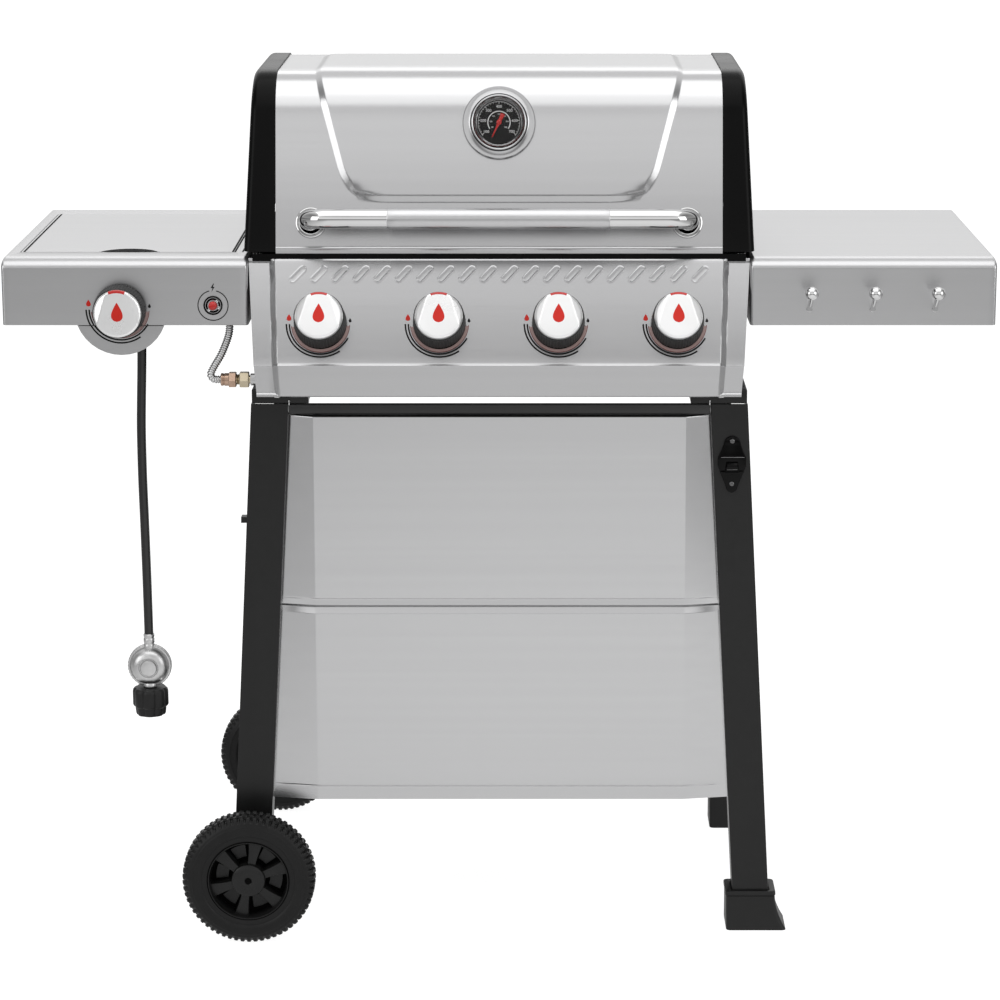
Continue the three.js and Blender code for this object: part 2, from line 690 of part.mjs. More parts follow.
function addGrates() {
  const lift = GRATE_LEDGE + FIT;
  const front = BOX_FRONT + BOX_WALL + 2;
  const back = BOX_BACK - BOX_WALL - 2;
  const outer = BOX_HALF - BOX_END_WALL - 2;
  for (const [name, side] of [["cooking_grate_left", -1], ["cooking_grate_right", 1]]) {
    const bars = [];
    for (let i = 0; i < GRATE_BARS; i++) {
      const x = 6 + (i * (outer - 12)) / (GRATE_BARS - 1);
      bars.push(slab(side * (x - 4.5), side * (x + 4.5), front, back, lift, lift + GRATE_THICK));
    }
    for (const y of [front + 6, (front + back) / 2, back - 6]) {
      bars.push(slab(side * 6, side * (outer - 6), y - 4, y + 4, lift, lift + GRATE_THICK - 2));
    }
    add(name, join(...bars), IRON);
  }

  // Warming rack: cross wires on two end frames that stand on the end walls of the firebox.
  const endX = BOX_HALF - BOX_END_WALL / 2 - WIRE - 0.5;
  const wires = [];
  const ys = [-2, 29, 60, 91, 122, 153];
  for (const y of ys) wires.push(rod(WIRE, vec(-endX, y, RACK_HEIGHT), vec(endX, y, RACK_HEIGHT), 6));
  for (const side of [-1, 1]) {
    const x = side * endX;
    wires.push(rod(WIRE, vec(x, ys[0] - 3, RACK_HEIGHT), vec(x, ys.at(-1) + 3, RACK_HEIGHT), 6));
    for (const y of [ys[1], ys.at(-2)]) {
      wires.push(rod(WIRE, vec(x, y, BOX_TOP + FIT), vec(x, y, RACK_HEIGHT), 6));
    }
  }
  add("warming_rack", join(...wires), CHROME);
}

function addGreaseTray() {
  const { half, front, back, low, high, rim } = TRAY;
  const tray = cut(
    join(
      slab(-half + 8, half - 8, front, back, low, high),
      slab(-half, half, front, back, high - rim, high),
    ),
    slab(-half + 10, half - 10, front + 2, back - 2, low + 2, high + 1),
  );
  const pull = slab(-30, 30, back - 1, back + 14, high - rim, high);
  add("grease_tray", join(tray, pull), STEEL);
}

// ---------------------------------------------------------------- control panel, valves, knobs
const faceLean = Math.atan2(FACE_TOP[0] - FACE_CREASE[0], FACE_TOP[1] - FACE_CREASE[1]);
const faceY = (z) => FACE_TOP[0] - (FACE_TOP[1] - z) * Math.tan(faceLean);
const knobDirection = vec(0, -Math.cos(faceLean), Math.sin(faceLean));
const knobPoint = (x, out) => vec(x, faceY(KNOB_HEIGHT), KNOB_HEIGHT).addScaledVector(knobDirection, out);

function addControlPanel() {
  const back = BOX_FRONT - 1.5;
  const halfAt = (z) =>
    PANEL_HALF_LOW + ((BODY_HALF - PANEL_HALF_LOW) * (z - FACE_LOW[1])) / (FACE_TOP[1] - FACE_LOW[1]);
  const ends = (outline, inset) =>
    loft("x", [-1, 1].map((side) => outline.map(([y, z]) => [side * (halfAt(z) - inset), y, z])));
  const outside = [[back, FACE_TOP[1]], FACE_TOP, FACE_CREASE, FACE_LOW, [back, FACE_LOW[1]]];
  const inside = [
    [back + 5, FACE_TOP[1] - FOLD],
    [FACE_TOP[0] + FOLD * 0.7, FACE_TOP[1] - FOLD],
    [FACE_CREASE[0] + FOLD, FACE_CREASE[1] + FOLD * 0.2],
    [FACE_LOW[0] + FOLD, FACE_LOW[1] - 6],
    [back + 5, FACE_LOW[1] - 6],
  ];
  const holes = burnerX.map((x) => rod(9, knobPoint(x, -8), knobPoint(x, 8), 12));
  const inletFrom = vec(-BODY_HALF - 5, ...MANIFOLD);
  const inlet = rod(MANIFOLD_RADIUS + FIT, inletFrom, vec(21 - PANEL_HALF_LOW, ...MANIFOLD), 12);
  add("control_panel", cut(ends(outside, 0), ends(inside, FOLD), ...holes, inlet), STEEL);

  // Manifold tube with a valve body for each burner, its inlet stub and its gas jet.
  const valves = burnerX.map((x) => {
    const stub = rod(6, vec(x, MANIFOLD[0] - 4, MANIFOLD[1]), vec(x, MANIFOLD[0] - 8, BURNER_HEIGHT + 2), 6);
    const body = rod(VALVE_RADIUS, knobPoint(x, -52), knobPoint(x, -FOLD - 4), 8);
    const jet = rod(3.5, vec(x, BOX_FRONT - 16, BURNER_HEIGHT), vec(x, BOX_FRONT + 3, BURNER_HEIGHT), 6);
    return cut(join(stub, body, jet), rod(STEM_RADIUS + FIT, knobPoint(x, -50), knobPoint(x, 0), 12));
  });
  const railEnd = burnerX.at(-1) + VALVE_RADIUS + 22;
  const rail = rod(MANIFOLD_RADIUS, vec(-SHELF_ROOT, ...MANIFOLD), vec(railEnd, ...MANIFOLD), 12);
  // a bracket carries the tube on the sloping front of the firebox
  const [tubeY, tubeZ] = MANIFOLD;
  const bracketBack = BOX_FRONT + 20;
  const slope = (BOX_SHOULDER - FUNNEL_LOW) / (FUNNEL_FRONT - BOX_FRONT);
  const bracketTop = BOX_SHOULDER - (bracketBack - BOX_FRONT) * slope - FIT;
  const bracket = join(
    slab(-8, 8, tubeY, bracketBack, tubeZ - 4, tubeZ + 4),
    slab(-8, 8, bracketBack - 6, bracketBack, tubeZ - 4, bracketTop),
  );
  add(
    "gas_manifold",
    join(rail, ...valves, bracket),
    ZINC,
  );

  const axes = burnerX.map((x, i) => [`${i + 1}`, knobPoint(x, 0), 90 * DEG - faceLean]);
  axes.push(["side", vec(SIDE_KNOB[0], SHELF_DEPTH_FRONT, SIDE_KNOB[1]), 90 * DEG]);
  for (const [label, point, tilt] of axes) {
    const seat = new THREE.Group();
    seat.position.copy(point);
    seat.rotation.x = tilt;
    grill.add(seat);
    add(`valve_stem_${label}`, rod(STEM_RADIUS, vec(0, 0, -44), vec(0, 0, 24), 12), BRASS, seat);
    add(`knob_${label}`, knob(), PLASTIC, seat);
  }
}

// A ribbed skirt below a tapered cap. The cap's sides fall away from a flat top that is narrower
// towards 12 o'clock (+Y), which is where the knob points when off.
function knob() {
  const top = KNOB_GAP + KNOB_LENGTH;
  const shoulder = KNOB_GAP + SKIRT_LENGTH;
  const body = turned(
    [
      [0, KNOB_GAP],
      [SKIRT_RADIUS, KNOB_GAP],
      [SKIRT_RADIUS - 1, shoulder],
      [CAP_RADIUS, shoulder + 1],
      [CAP_RADIUS - 1, top - 2],
      [CAP_RADIUS - 3, top],
      [0, top],
    ],
    24,
  );
  const flank = (side) =>
    loft("y", [-36, 36].map((y) => {
      const flat = KNOB_FLAT - KNOB_TAPER * y;
      const low = top - KNOB_FLANK * (40 - flat);
      return [[side * flat, y, top], [side * flat, y, top + 2], [side * 40, y, top + 2], [side * 40, y, low]];
    }));
  return cut(body, flank(-1), flank(1), rod(STEM_RADIUS + FIT, vec(0, 0, 0), vec(0, 0, 24 + FIT), 12));
}

// ---------------------------------------------------------------- side shelves
// A pan turned upside down: top sheet with a soft edge and aprons on all sides.
function shelfPan(side) {
  const [near, far] = [side * SHELF_ROOT, side * SHELF_TIP];
  const [x0, x1] = [Math.min(near, far), Math.max(near, far)];
  const ring = (inset, z) =>
    atHeight(chamfered(x0 + inset, x1 - inset, SHELF_DEPTH_FRONT + inset, SHELF_DEPTH_BACK - inset, 3), z);
  const outer = loft("z", [
    ring(0, APRON_LOW),
    ring(0, SHELF_TOP - 7),
    ring(2, SHELF_TOP - 2),
    ring(7, SHELF_TOP),
  ]);
  const hollow = slab(
    x0 + SHEET, x1 - SHEET,
    SHELF_DEPTH_FRONT + SHEET, SHELF_DEPTH_BACK - SHEET,
    APRON_LOW - 1, SHELF_TOP - SHEET - 1,
  );
  return cut(outer, hollow);
}

function addShelves() {
  add("side_shelf_right", shelfPan(1), STEEL);
  HOOKS.forEach((x, i) => {
    const foot = vec(x, SHELF_DEPTH_FRONT - FIT, HOOK_FOOT);
    const ball = vec(x, ...HOOK_BALL);
    const plate = rod(8, foot, vec(x, foot.y - 3, HOOK_FOOT), 12);
    const stem = rod(3.2, vec(x, foot.y - 2.6, HOOK_FOOT + 2), ball, 8);
    const head = new THREE.SphereGeometry(8.8, 12, 8).translate(...ball.toArray());
    add(`tool_hook_${i + 1}`, join(plate, stem, head), CHROME);
  });

  // Left shelf: a well for the side burner, pressed into the top.
  const { left, right, front, back, floor } = WELL;
  const wall = SHEET;
  const well = cut(
    slab(left - wall, right + wall, front - wall, back + wall, floor - wall, SHELF_TOP - 2),
    slab(left, right, front, back, floor, SHELF_TOP + 1),
  );
  const opening = slab(left, right, front, back, floor + 5, SHELF_TOP + 1);
  const [hingeY, hingeZ] = COVER_HINGE;
  const pinHole = rod(3, vec(left - 5, hingeY, hingeZ), vec(right + 5, hingeY, hingeZ), 12);
  const burnerHole = rod(20, vec(...BURNER_CENTRE, floor - 5), vec(...BURNER_CENTRE, floor + 5), 16);
  const [knobX, knobZ] = SIDE_KNOB;
  const knobAt = (y) => vec(knobX, SHELF_DEPTH_FRONT + y, knobZ);
  const knobHole = rod(9, knobAt(-5), knobAt(5), 16);
  const [igX, igZ] = IGNITER;
  const sleeveAt = (y) => vec(igX, SHELF_DEPTH_FRONT + y, igZ);
  const sleeve = rod(IGNITER_RADIUS + 3, sleeveAt(-0.6), sleeveAt(30), 20);
  const sleeveBore = rod(IGNITER_RADIUS + FIT, sleeveAt(-5), sleeveAt(24), 20);
  add(
    "side_shelf_left",
    cut(join(cut(shelfPan(-1), opening), well, sleeve), pinHole, burnerHole, knobHole, sleeveBore),
    STEEL,
  );
  add(
    "igniter_button",
    rod(IGNITER_RADIUS, sleeveAt(-8), sleeveAt(18), 20),
    RED,
  );
  addSideBurner();
}

function addSideBurner() {
  const { left, right, front, floor } = WELL;
  const [hingeY, hingeZ] = COVER_HINGE;
  const x0 = left + COVER_GAP;
  const x1 = right - COVER_GAP;
  const y0 = front + COVER_GAP;
  const y1 = hingeY + (SHELF_TOP - hingeZ);
  const skin = SHELF_TOP - 2.6;
  const notch = new THREE.CylinderGeometry(60, 60, 20, 48)
    .rotateX(90 * DEG)
    .translate((x0 + x1) / 2, y0 - 52, SHELF_TOP);
  const cover = cut(
    slab(x0, x1, y0, y1, SHELF_TOP - 2.6 - COVER_DEPTH, SHELF_TOP),
    slab(x0 + SHEET, x1 - SHEET, y0 + SHEET, y1 - SHEET, SHELF_TOP - 20, skin),
    notch,
  );
  const pin = (a, b) => rod(2.7, vec(a, hingeY, hingeZ), vec(b, hingeY, hingeZ), 12);
  add("side_burner_cover", join(cover, pin(left - 4, x0 + 3), pin(x1 - 3, right + 4)), STEEL);

  const centre = BURNER_CENTRE;
  const headAt = (z) => vec(...centre, z);
  const valveX = SIDE_KNOB[0];
  const throat = SIDE_KNOB[1] - 2;
  const head = join(
    rod(44, headAt(floor + 8), headAt(floor + 22), 24),
    rod(17, headAt(throat - 8), headAt(floor + 9), 16),
    rod(8, headAt(throat), vec(valveX, -170, throat + 2), 10),
    // the collar that seats the head on the floor of the well
    rod(26, headAt(floor + FIT), headAt(floor + 9), 16),
  );
  const mouth = rod(4, vec(valveX, -172, throat + 2), vec(valveX, -140, throat + 1), 8);
  add("side_burner_head", cut(head, mouth), IRON);

  const z = floor + 28;
  const foot = floor + FIT;
  const arms = [];
  for (const angle of [0, 45, 90, 135]) {
    const arm = slab(-104, 104, -3, 3, z - 4, z + 4).rotateZ(angle * DEG);
    arms.push(arm.translate(centre[0], centre[1], 0));
  }
  const hoop = turned([[98, z - 4], [106, z - 4], [106, z + 2], [98, z + 2], [98, z - 4]], 24)
    .translate(centre[0], centre[1], 0);
  const legs = [45, 135, 225, 315].map((angle) => {
    const x = centre[0] + 101 * Math.cos(angle * DEG);
    const y = centre[1] + 101 * Math.sin(angle * DEG);
    return slab(x - 3, x + 3, y - 3, y + 3, foot, z);
  });
  const eye = rod(20, headAt(z - 6), headAt(z + 6), 16);
  add("side_burner_grate", cut(join(...arms, hoop, ...legs), eye), IRON);

  // Half-moon plate behind the apron, with the valve, the hose gland and the flex line's gland.
  const face = SHELF_DEPTH_FRONT + SHEET + FIT;
  const [knobX, knobZ] = SIDE_KNOB;
  const disc = rod(HALF_PLATE_RADIUS, vec(knobX, face, knobZ), vec(knobX, face + SHEET, knobZ), 36);
  const trim = slab(knobX - 80, knobX + 80, face - 5, face + 10, knobZ + 14, knobZ + 80);
  const plate = cut(disc, trim);
  const hoseY = REGULATOR[1];
  const body = rod(VALVE_RADIUS, vec(knobX, face + 1, knobZ), vec(knobX, -184, knobZ), 12);
  const jet = rod(3, vec(knobX, -185, knobZ), vec(knobX, -162, knobZ), 8);
  const block = slab(knobX, HOSE_X + 10, hoseY - 10, hoseY + 10, HOSE_TOP + 18, FLEX_START.z + 12);
  const glandHose = rod(9.5, vec(HOSE_X, hoseY, HOSE_TOP), vec(HOSE_X, hoseY, HOSE_TOP + 20), 6);
  const glandEnd = FLEX_START.clone().add(vec(-FIT, 0, 0));
  const glandFlex = rod(8, vec(HOSE_X + 8, hoseY, FLEX_START.z), glandEnd, 6);
  const stemEnd = vec(knobX, SHELF_DEPTH_FRONT + 50, knobZ);
  const bore = rod(STEM_RADIUS + FIT, vec(knobX, face - 5, knobZ), stemEnd, 16);
  add("side_burner_valve", cut(join(plate, body, jet, block, glandHose, glandFlex), bore), ZINC);
}

// ---------------------------------------------------------------- gas line, hose and regulator
const FLEX_START = vec(HOSE_X + 26, REGULATOR[1], APRON_LOW + 4.5);
const FITTING_END = -SHELF_ROOT - 44.7;

function addGasLine() {
  const [y, z] = MANIFOLD;
  const line = sweep(
    FLEX_RADIUS,
    [
      FLEX_START,
      FLEX_START.clone().add(vec(20, 0, 0)),
      vec(FITTING_END - 17, -202, FLEX_START.z + 6),
      vec(FITTING_END + 10, -203, FLEX_START.z + 2),
      vec(FITTING_END + 14, -207, FLEX_START.z - 17),
      vec(FITTING_END + 2, -213, z + 35),
      vec(FITTING_END - 11, -218, z + 16),
      vec(FITTING_END - 15, -221, z + 6),
      vec(FITTING_END - 10, y, z + 0.4),
      vec(FITTING_END - FIT, y, z),
    ],
    30,
  );
  add("flex_line", line, ZINC);

  const along = (radius, from, to, sides) => rod(radius, vec(from, y, z), vec(to, y, z), sides);
  const fitting = join(
    along(8.4, FITTING_END, FITTING_END + 11, 14),
    along(10.7, FITTING_END + 10.5, FITTING_END + 20, 6),
    along(7, FITTING_END + 19.5, FITTING_END + 25, 12),
    along(11, FITTING_END + 24.5, FITTING_END + 36.6, 6),
    along(5.5, FITTING_END + 36, -SHELF_ROOT - FIT, 12),
  );
  add("flex_fitting", fitting, BRASS);

  const [rx, ry, rz] = REGULATOR;
  const hose = sweep(
    HOSE_RADIUS,
    [
      vec(HOSE_X, ry, HOSE_TOP - FIT),
      vec(HOSE_X - 1, ry, 760),
      vec(HOSE_X - 2.6, ry, 720),
      vec(HOSE_X - 3.8, ry, 680),
      vec(HOSE_X - 3.9, ry, 620),
      vec(HOSE_X - 3, ry, 560),
      vec(HOSE_X - 2, ry, 480),
      vec(rx, ry, FERRULE_TOP + FIT),
    ],
    16,
    8,
  );
  add("gas_hose", hose, RUBBER);

  // Regulator: a crimped disc with a domed cover to the front, ferrule above and inlet below.
  const bodyShape = turned(
    [
      [0, -17],
      [14, -17],
      [24, -10],
      [29, -5],
      [29, 4],
      [25, 8],
      [20, 15],
      [10, 18],
      [0, 18],
    ],
    22,
  )
    .rotateX(90 * DEG)
    .translate(rx, ry, rz);
  const ferrule = rod(7.3, vec(rx, ry, rz + 28), vec(rx, ry, FERRULE_TOP), 14);
  const neck = rod(9, vec(rx, ry, NUT_TOP + FIT), vec(rx, ry, rz - 26), 14);
  const nipple = rod(6, vec(rx, ry, NUT_LOW + 8), vec(rx, ry, NUT_TOP + 4), 12);
  add("regulator", join(bodyShape, ferrule, neck, nipple), ZINC);

  const lobes = [];
  for (let i = 0; i < 8; i++) {
    const angle = i * 45 * DEG;
    const at = (z) => vec(18 * Math.cos(angle), 18 * Math.sin(angle), z);
    lobes.push(rod(6.5, at(12), at(NUT_TOP - NUT_LOW), 6));
  }
  const nut = cut(
    join(
      turned([[0, 0], [18.5, 0], [20, 12], [20, NUT_TOP - NUT_LOW], [0, NUT_TOP - NUT_LOW]], 16),
      ...lobes,
    ),
    rod(6 + FIT, vec(0, 0, -1), vec(0, 0, NUT_TOP - NUT_LOW + 1), 12),
  ).translate(rx, ry, NUT_LOW);
  add("regulator_nut", nut, PLASTIC);
}

// ---------------------------------------------------------------- lid
// The lid's outline from its front bottom edge over the top to its back bottom edge, as [y, z]
// points moved outwards by a given amount.
function lidOutline(offset, low = LID_BOTTOM) {
  const points = [];
  const steps = 6;
  const arc = ({ y, z, r }, from, to) => {
    for (let i = 0; i <= steps; i++) {
      const angle = from + ((to - from) * i) / steps;
      points.push([y + (r + offset) * Math.cos(angle), z + (r + offset) * Math.sin(angle)]);
    }
  };
  arc(LID_FRONT_ARC, Math.PI - LID_FRONT_ARC.lean, Math.PI / 2);
  arc(LID_BACK_ARC, Math.PI / 2, LID_BACK_ARC.lean);
  const [y0, z0] = points[0];
  const [y1, z1] = points.at(-1);
  points.unshift([y0 - (z0 - low) * Math.tan(LID_FRONT_ARC.lean), low]);
  points.push([y1 + (z1 - low) * Math.tan(LID_BACK_ARC.lean), low]);
  return points;
}

const lidFaceY = (z) => {
  const [y0, z0] = lidOutline(0)[1];
  return y0 - (z0 - z) * Math.tan(LID_FRONT_ARC.lean);
};

function addLid() {
  const shellOutline = [...lidOutline(0, LID_BOTTOM - 2), ...lidOutline(-SHEET, LID_BOTTOM - 2).reverse()];
  const half = LID_SKIN_HALF - FIT;
  const skin = prism("x", shellOutline, -half, half);
  // the pressed field: the same sheet moved outwards, inside a trapezoid with cut lower corners
  const fieldOutline = [...lidOutline(EMBOSS), ...lidOutline(-SHEET / 2).reverse()];
  const corner = 14;
  const trapezoid = [
    [-EMBOSS_TOP_HALF, LID_FRONT_ARC.z + 80],
    [-EMBOSS_TOP_HALF, LID_FRONT_ARC.z + 50],
    [-EMBOSS_LOW_HALF - corner * 0.4, EMBOSS_LOW + corner],
    [-EMBOSS_LOW_HALF + corner, EMBOSS_LOW],
    [EMBOSS_LOW_HALF - corner, EMBOSS_LOW],
    [EMBOSS_LOW_HALF + corner * 0.4, EMBOSS_LOW + corner],
    [EMBOSS_TOP_HALF, LID_FRONT_ARC.z + 50],
    [EMBOSS_TOP_HALF, LID_FRONT_ARC.z + 80],
  ];
  const field = common(
    prism("x", fieldOutline, -half, half),
    prism("y", trapezoid, -260, LID_BACK_ARC.y),
  );
  add("lid_shell", join(skin, field), STEEL);

  for (const [name, side] of [["lid_cap_left", -1], ["lid_cap_right", 1]]) {
    add(name, lidCap(side), CAST_BLACK);
  }

  const lean = LID_FRONT_ARC.lean;
  const out = vec(0, -Math.cos(lean), Math.sin(lean));
  const foot = (side, reach) =>
    vec(side * HANDLE_HALF, lidFaceY(HANDLE_FOOT_Z), HANDLE_FOOT_Z).addScaledVector(out, reach);
  const path = [];
  for (const side of [-1, 1]) {
    const bend = [foot(side, 4)];
    for (let angle = 0; angle <= 90; angle += 15) {
      const rise = HANDLE_REACH - HANDLE_BEND + HANDLE_BEND * Math.sin(angle * DEG);
      const shift = HANDLE_BEND * (1 - Math.cos(angle * DEG));
      bend.push(foot(side, rise).add(vec(-side * shift, 0, 0)));
    }
    if (side > 0) bend.reverse();
    path.push(...bend);
  }
  const tube = bentBar(HANDLE_RADIUS, path, 12);
  const gripEnd = (side) => foot(side, HANDLE_REACH).setX(side * GRIP_HALF);
  const grip = rod(GRIP_RADIUS, gripEnd(-1), gripEnd(1), 16);
  const bezel = (side) => rod(BEZEL_RADIUS, foot(side, FIT), foot(side, 8), 20);
  add("lid_handle", join(tube, grip, bezel(-1), bezel(1)), CHROME);

  addThermometer(out);
}

// A cast end of the lid: drafted on the outside, hollow inside, with an ear for the hinge stud.
function lidCap(side) {
  const draft = (z) => CAP_DRAFT * (z - LID_BOTTOM);
  const station = (offset, x, drafted) =>
    lidOutline(offset).map(([y, z]) => [side * (x - (drafted ? draft(z) : 0)), y, z]);
  const stations = [
    station(CAP_PROUD, LID_SKIN_HALF, false),
    station(CAP_PROUD, LID_CAP_HALF - 9, true),
    station(-1, LID_CAP_HALF - 3, true),
    station(-8, LID_CAP_HALF, true),
  ];
  const hollow = [
    station(-CAP_WALL, LID_SKIN_HALF - 5, false),
    station(-CAP_WALL, LID_CAP_HALF - 9, true),
  ].map((ring) => {
    const below = ([x, y]) => [x, y, LID_BOTTOM - 5];
    return [below(ring[0]), ...ring, below(ring.at(-1))];
  });
  const [y, z] = LID_HINGE;
  const [x0, x1] = [side * (HINGE_X - 7), side * HINGE_X];
  const root = lidOutline(0).at(-1)[0] - 3;
  const ear = join(rod(7, vec(x0, y, z), vec(x1, y, z), 16), slab(x0, x1, root, y, LID_BOTTOM, z + 7));
  const bore = rod(HINGE_PIN + FIT, vec(side * (HINGE_X - 20), y, z), vec(side * (HINGE_X + 5), y, z), 12);
  return cut(join(cut(loft("x", stations), loft("x", hollow)), ear), bore);
}

function addThermometer(out) {
  const seat = new THREE.Group();
  seat.position.set(0, lidFaceY(DIAL_Z), DIAL_Z).addScaledVector(out, EMBOSS + FIT);
  seat.rotation.x = 90 * DEG - LID_FRONT_ARC.lean;
  grill.add(seat);
  const well = 3;
  const body = turned(
    [
      [0, 0],
      [DIAL_BEZEL, 0],
      [DIAL_BEZEL - 1, 3],
      [DIAL_BEZEL - 10, 5.5],
      [DIAL_BEZEL - 11, 9],
      [DIAL_WELL + 1, 9],
      [DIAL_WELL, 8],
      [DIAL_WELL, well],
      [1.3, well],
      [1.3, well + 3],
      [0, well + 3],
    ],
    28,
  );
  add("thermometer", body, CHROME, seat);
  // the thin end points below the first mark while cold, and the broad end balances it
  const pointer = [[-1.8, 13], [-0.5, -24], [0.5, -24], [1.8, 13]];
  const needle = join(
    prism("z", pointer, well + FIT, well + 1.5),
    rod(4, vec(0, 0, well + FIT), vec(0, 0, well + 2.5), 16),
  );
  const drilled = cut(needle, rod(1.3 + FIT, vec(0, 0, 0), vec(0, 0, well + 5), 12));
  add("thermometer_needle", drilled.rotateZ(NEEDLE_TURN), RED, seat);
}

// ---------------------------------------------------------------- the whole grill
addCart();
addWheelsAndFeet();
addFirebox();
addBurners();
addGrates();
addGreaseTray();
addControlPanel();
addShelves();
addGasLine();
addLid();

// Centre the footprint on the origin.
grill.updateMatrixWorld(true);
const reach = new THREE.Box3().setFromObject(grill, true);
grill.position.y = -(reach.min.y + reach.max.y) / 2;

export default grill;
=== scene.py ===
import json
import math

import bmesh
import bpy
import numpy as np
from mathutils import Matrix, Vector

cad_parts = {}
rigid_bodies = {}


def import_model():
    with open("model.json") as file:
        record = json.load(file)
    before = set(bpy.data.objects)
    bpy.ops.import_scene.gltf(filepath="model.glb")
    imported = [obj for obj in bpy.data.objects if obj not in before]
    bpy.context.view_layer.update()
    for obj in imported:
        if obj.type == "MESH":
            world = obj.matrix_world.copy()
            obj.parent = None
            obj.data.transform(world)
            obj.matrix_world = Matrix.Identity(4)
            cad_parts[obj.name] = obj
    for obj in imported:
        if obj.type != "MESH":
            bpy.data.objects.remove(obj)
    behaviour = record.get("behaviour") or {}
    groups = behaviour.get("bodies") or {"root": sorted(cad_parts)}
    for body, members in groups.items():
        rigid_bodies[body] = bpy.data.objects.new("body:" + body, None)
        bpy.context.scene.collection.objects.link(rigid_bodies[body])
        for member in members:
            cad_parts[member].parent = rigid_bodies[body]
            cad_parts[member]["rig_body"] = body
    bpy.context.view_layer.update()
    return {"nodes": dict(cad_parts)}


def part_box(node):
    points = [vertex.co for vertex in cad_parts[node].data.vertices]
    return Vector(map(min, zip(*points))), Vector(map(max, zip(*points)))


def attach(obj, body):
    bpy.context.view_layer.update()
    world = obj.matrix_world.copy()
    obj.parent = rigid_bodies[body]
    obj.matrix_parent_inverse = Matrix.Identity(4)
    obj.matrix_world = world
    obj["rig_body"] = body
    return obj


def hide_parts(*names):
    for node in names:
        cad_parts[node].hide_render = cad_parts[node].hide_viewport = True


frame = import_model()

# A gas barbecue grill: four burners under a hinged lid, a side burner on the left shelf.
# Lengths are in millimetres in the cart's own frame, whose depth is zero midway between the
# front and rear legs. place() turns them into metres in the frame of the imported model.
LEG_FACE = 230.0
MIDDLE_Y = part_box("leg_front_left")[0].y + LEG_FACE / 1000


def place(points):
    """Cart-frame millimetres to packed-frame metres: a thousandth of each, y moved to the cart's middle."""
    return np.asarray(points, float) * 0.001 + (0.0, MIDDLE_Y, 0.0)


# ------------------------------------------------------------------ camera, light and floor
scene = bpy.context.scene
scene.view_settings.view_transform = "Standard"

camera_data = bpy.data.cameras.new("camera")
camera_data.lens = 115.7
camera_data.sensor_width = 36
camera_data.shift_x = -0.033
camera_data.clip_end = 200
camera = bpy.data.objects.new("camera", camera_data)
camera.location = place((43.6, -4323.8, 1559.76))
camera.rotation_euler = (math.radians(90 - 13.2754), 0, 0)
scene.collection.objects.link(camera)
scene.camera = camera


def softbox(name, centre, aim, size, radiance):
    """A rectangular lamp at centre, facing aim, that looks as bright as its radiance."""
    data = bpy.data.lights.new(name, "AREA")
    data.shape = "RECTANGLE"
    data.size, data.size_y = size
    data.energy = radiance * math.pi * size[0] * size[1]
    lamp = bpy.data.objects.new(name, data)
    lamp.location = centre
    towards = np.array(aim, float) - centre
    yaw = math.atan2(towards[0], -towards[1])
    tilt = math.acos(-towards[2] / np.linalg.norm(towards))
    lamp.rotation_euler = (tilt, 0, math.pi + yaw)
    lamp.visible_camera = False
    scene.collection.objects.link(lamp)


softbox("lamp_overhead", (0.0, -0.35, 3.3), (0, 0, 0.8), (3.4, 1.9), 1.12)
softbox("lamp_front_top", (0.0, -1.16, 2.2), (0, -0.24, 0.9), (2.6, 0.75), 0.96)
softbox("lamp_left", (-2.75, -1.95, 1.5), (0, 0, 0.8), (1.7, 2.0), 1.9)
softbox("lamp_right", (2.75, -1.95, 1.5), (0, 0, 0.8), (1.7, 2.0), 2.15)
softbox("lamp_back", (0.0, 3.0, 3.0), (0, 0, 0.8), (3.0, 1.2), 1.1)

WHITE = 1.0
MATT_SHARE = 0.5  # how much of that white lights matt surfaces
# what mirrors see of it: (sine of the elevation, level) in front and at the back
MIRRORED_FRONT = [(-0.1, 0.3), (0.02, 0.36), (0.08, 1.0), (0.3, 1.16), (0.5, 0.8), (0.62, 0.62), (0.8, 0.75),
                  (1.0, 1.0)]
MIRRORED_BACK = [(-0.1, 0.4), (0.02, 0.5), (0.09, 0.8), (0.16, 1.22), (0.3, 1.1), (0.6, 0.95), (1.0, 1.0)]
SIDE_LEVEL = 0.35  # what is left of it towards either side


def grey(value, tint=(1.0, 1.0, 1.0)):
    return (value * tint[0], value * tint[1], value * tint[2], 1.0)


def feed(tree, target, inputs):
    """Gives a node's inputs, named or numbered, a value or another node's socket."""
    for key, value in dict(inputs).items():
        if isinstance(value, bpy.types.NodeSocket):
            tree.links.new(value, target.inputs[key])
        else:
            target.inputs[key].default_value = value


def node(tree, kind, inputs=(), **settings):
    """A new shader node with its settings and its inputs."""
    made = tree.nodes.new("ShaderNode" + kind)
    for name, value in settings.items():
        setattr(made, name, value)
    feed(tree, made, inputs)
    return made


def maths(tree, operation, *values, **settings):
    return node(tree, "Math", enumerate(values), operation=operation, **settings).outputs[0]


def map_range(tree, value, start, stop, low=0.0, high=1.0, **settings):
    """The share of value's way from start to stop, laid on low to high."""
    return node(tree, "MapRange", enumerate((value, start, stop, low, high)), **settings).outputs[0]


def mix_value(tree, factor, low, high):
    return node(tree, "Mix", {0: factor, 2: low, 3: high}).outputs[0]


def mix_colour(tree, factor, low, high):
    return node(tree, "Mix", {0: factor, 6: low, 7: high}, data_type="RGBA").outputs[2]


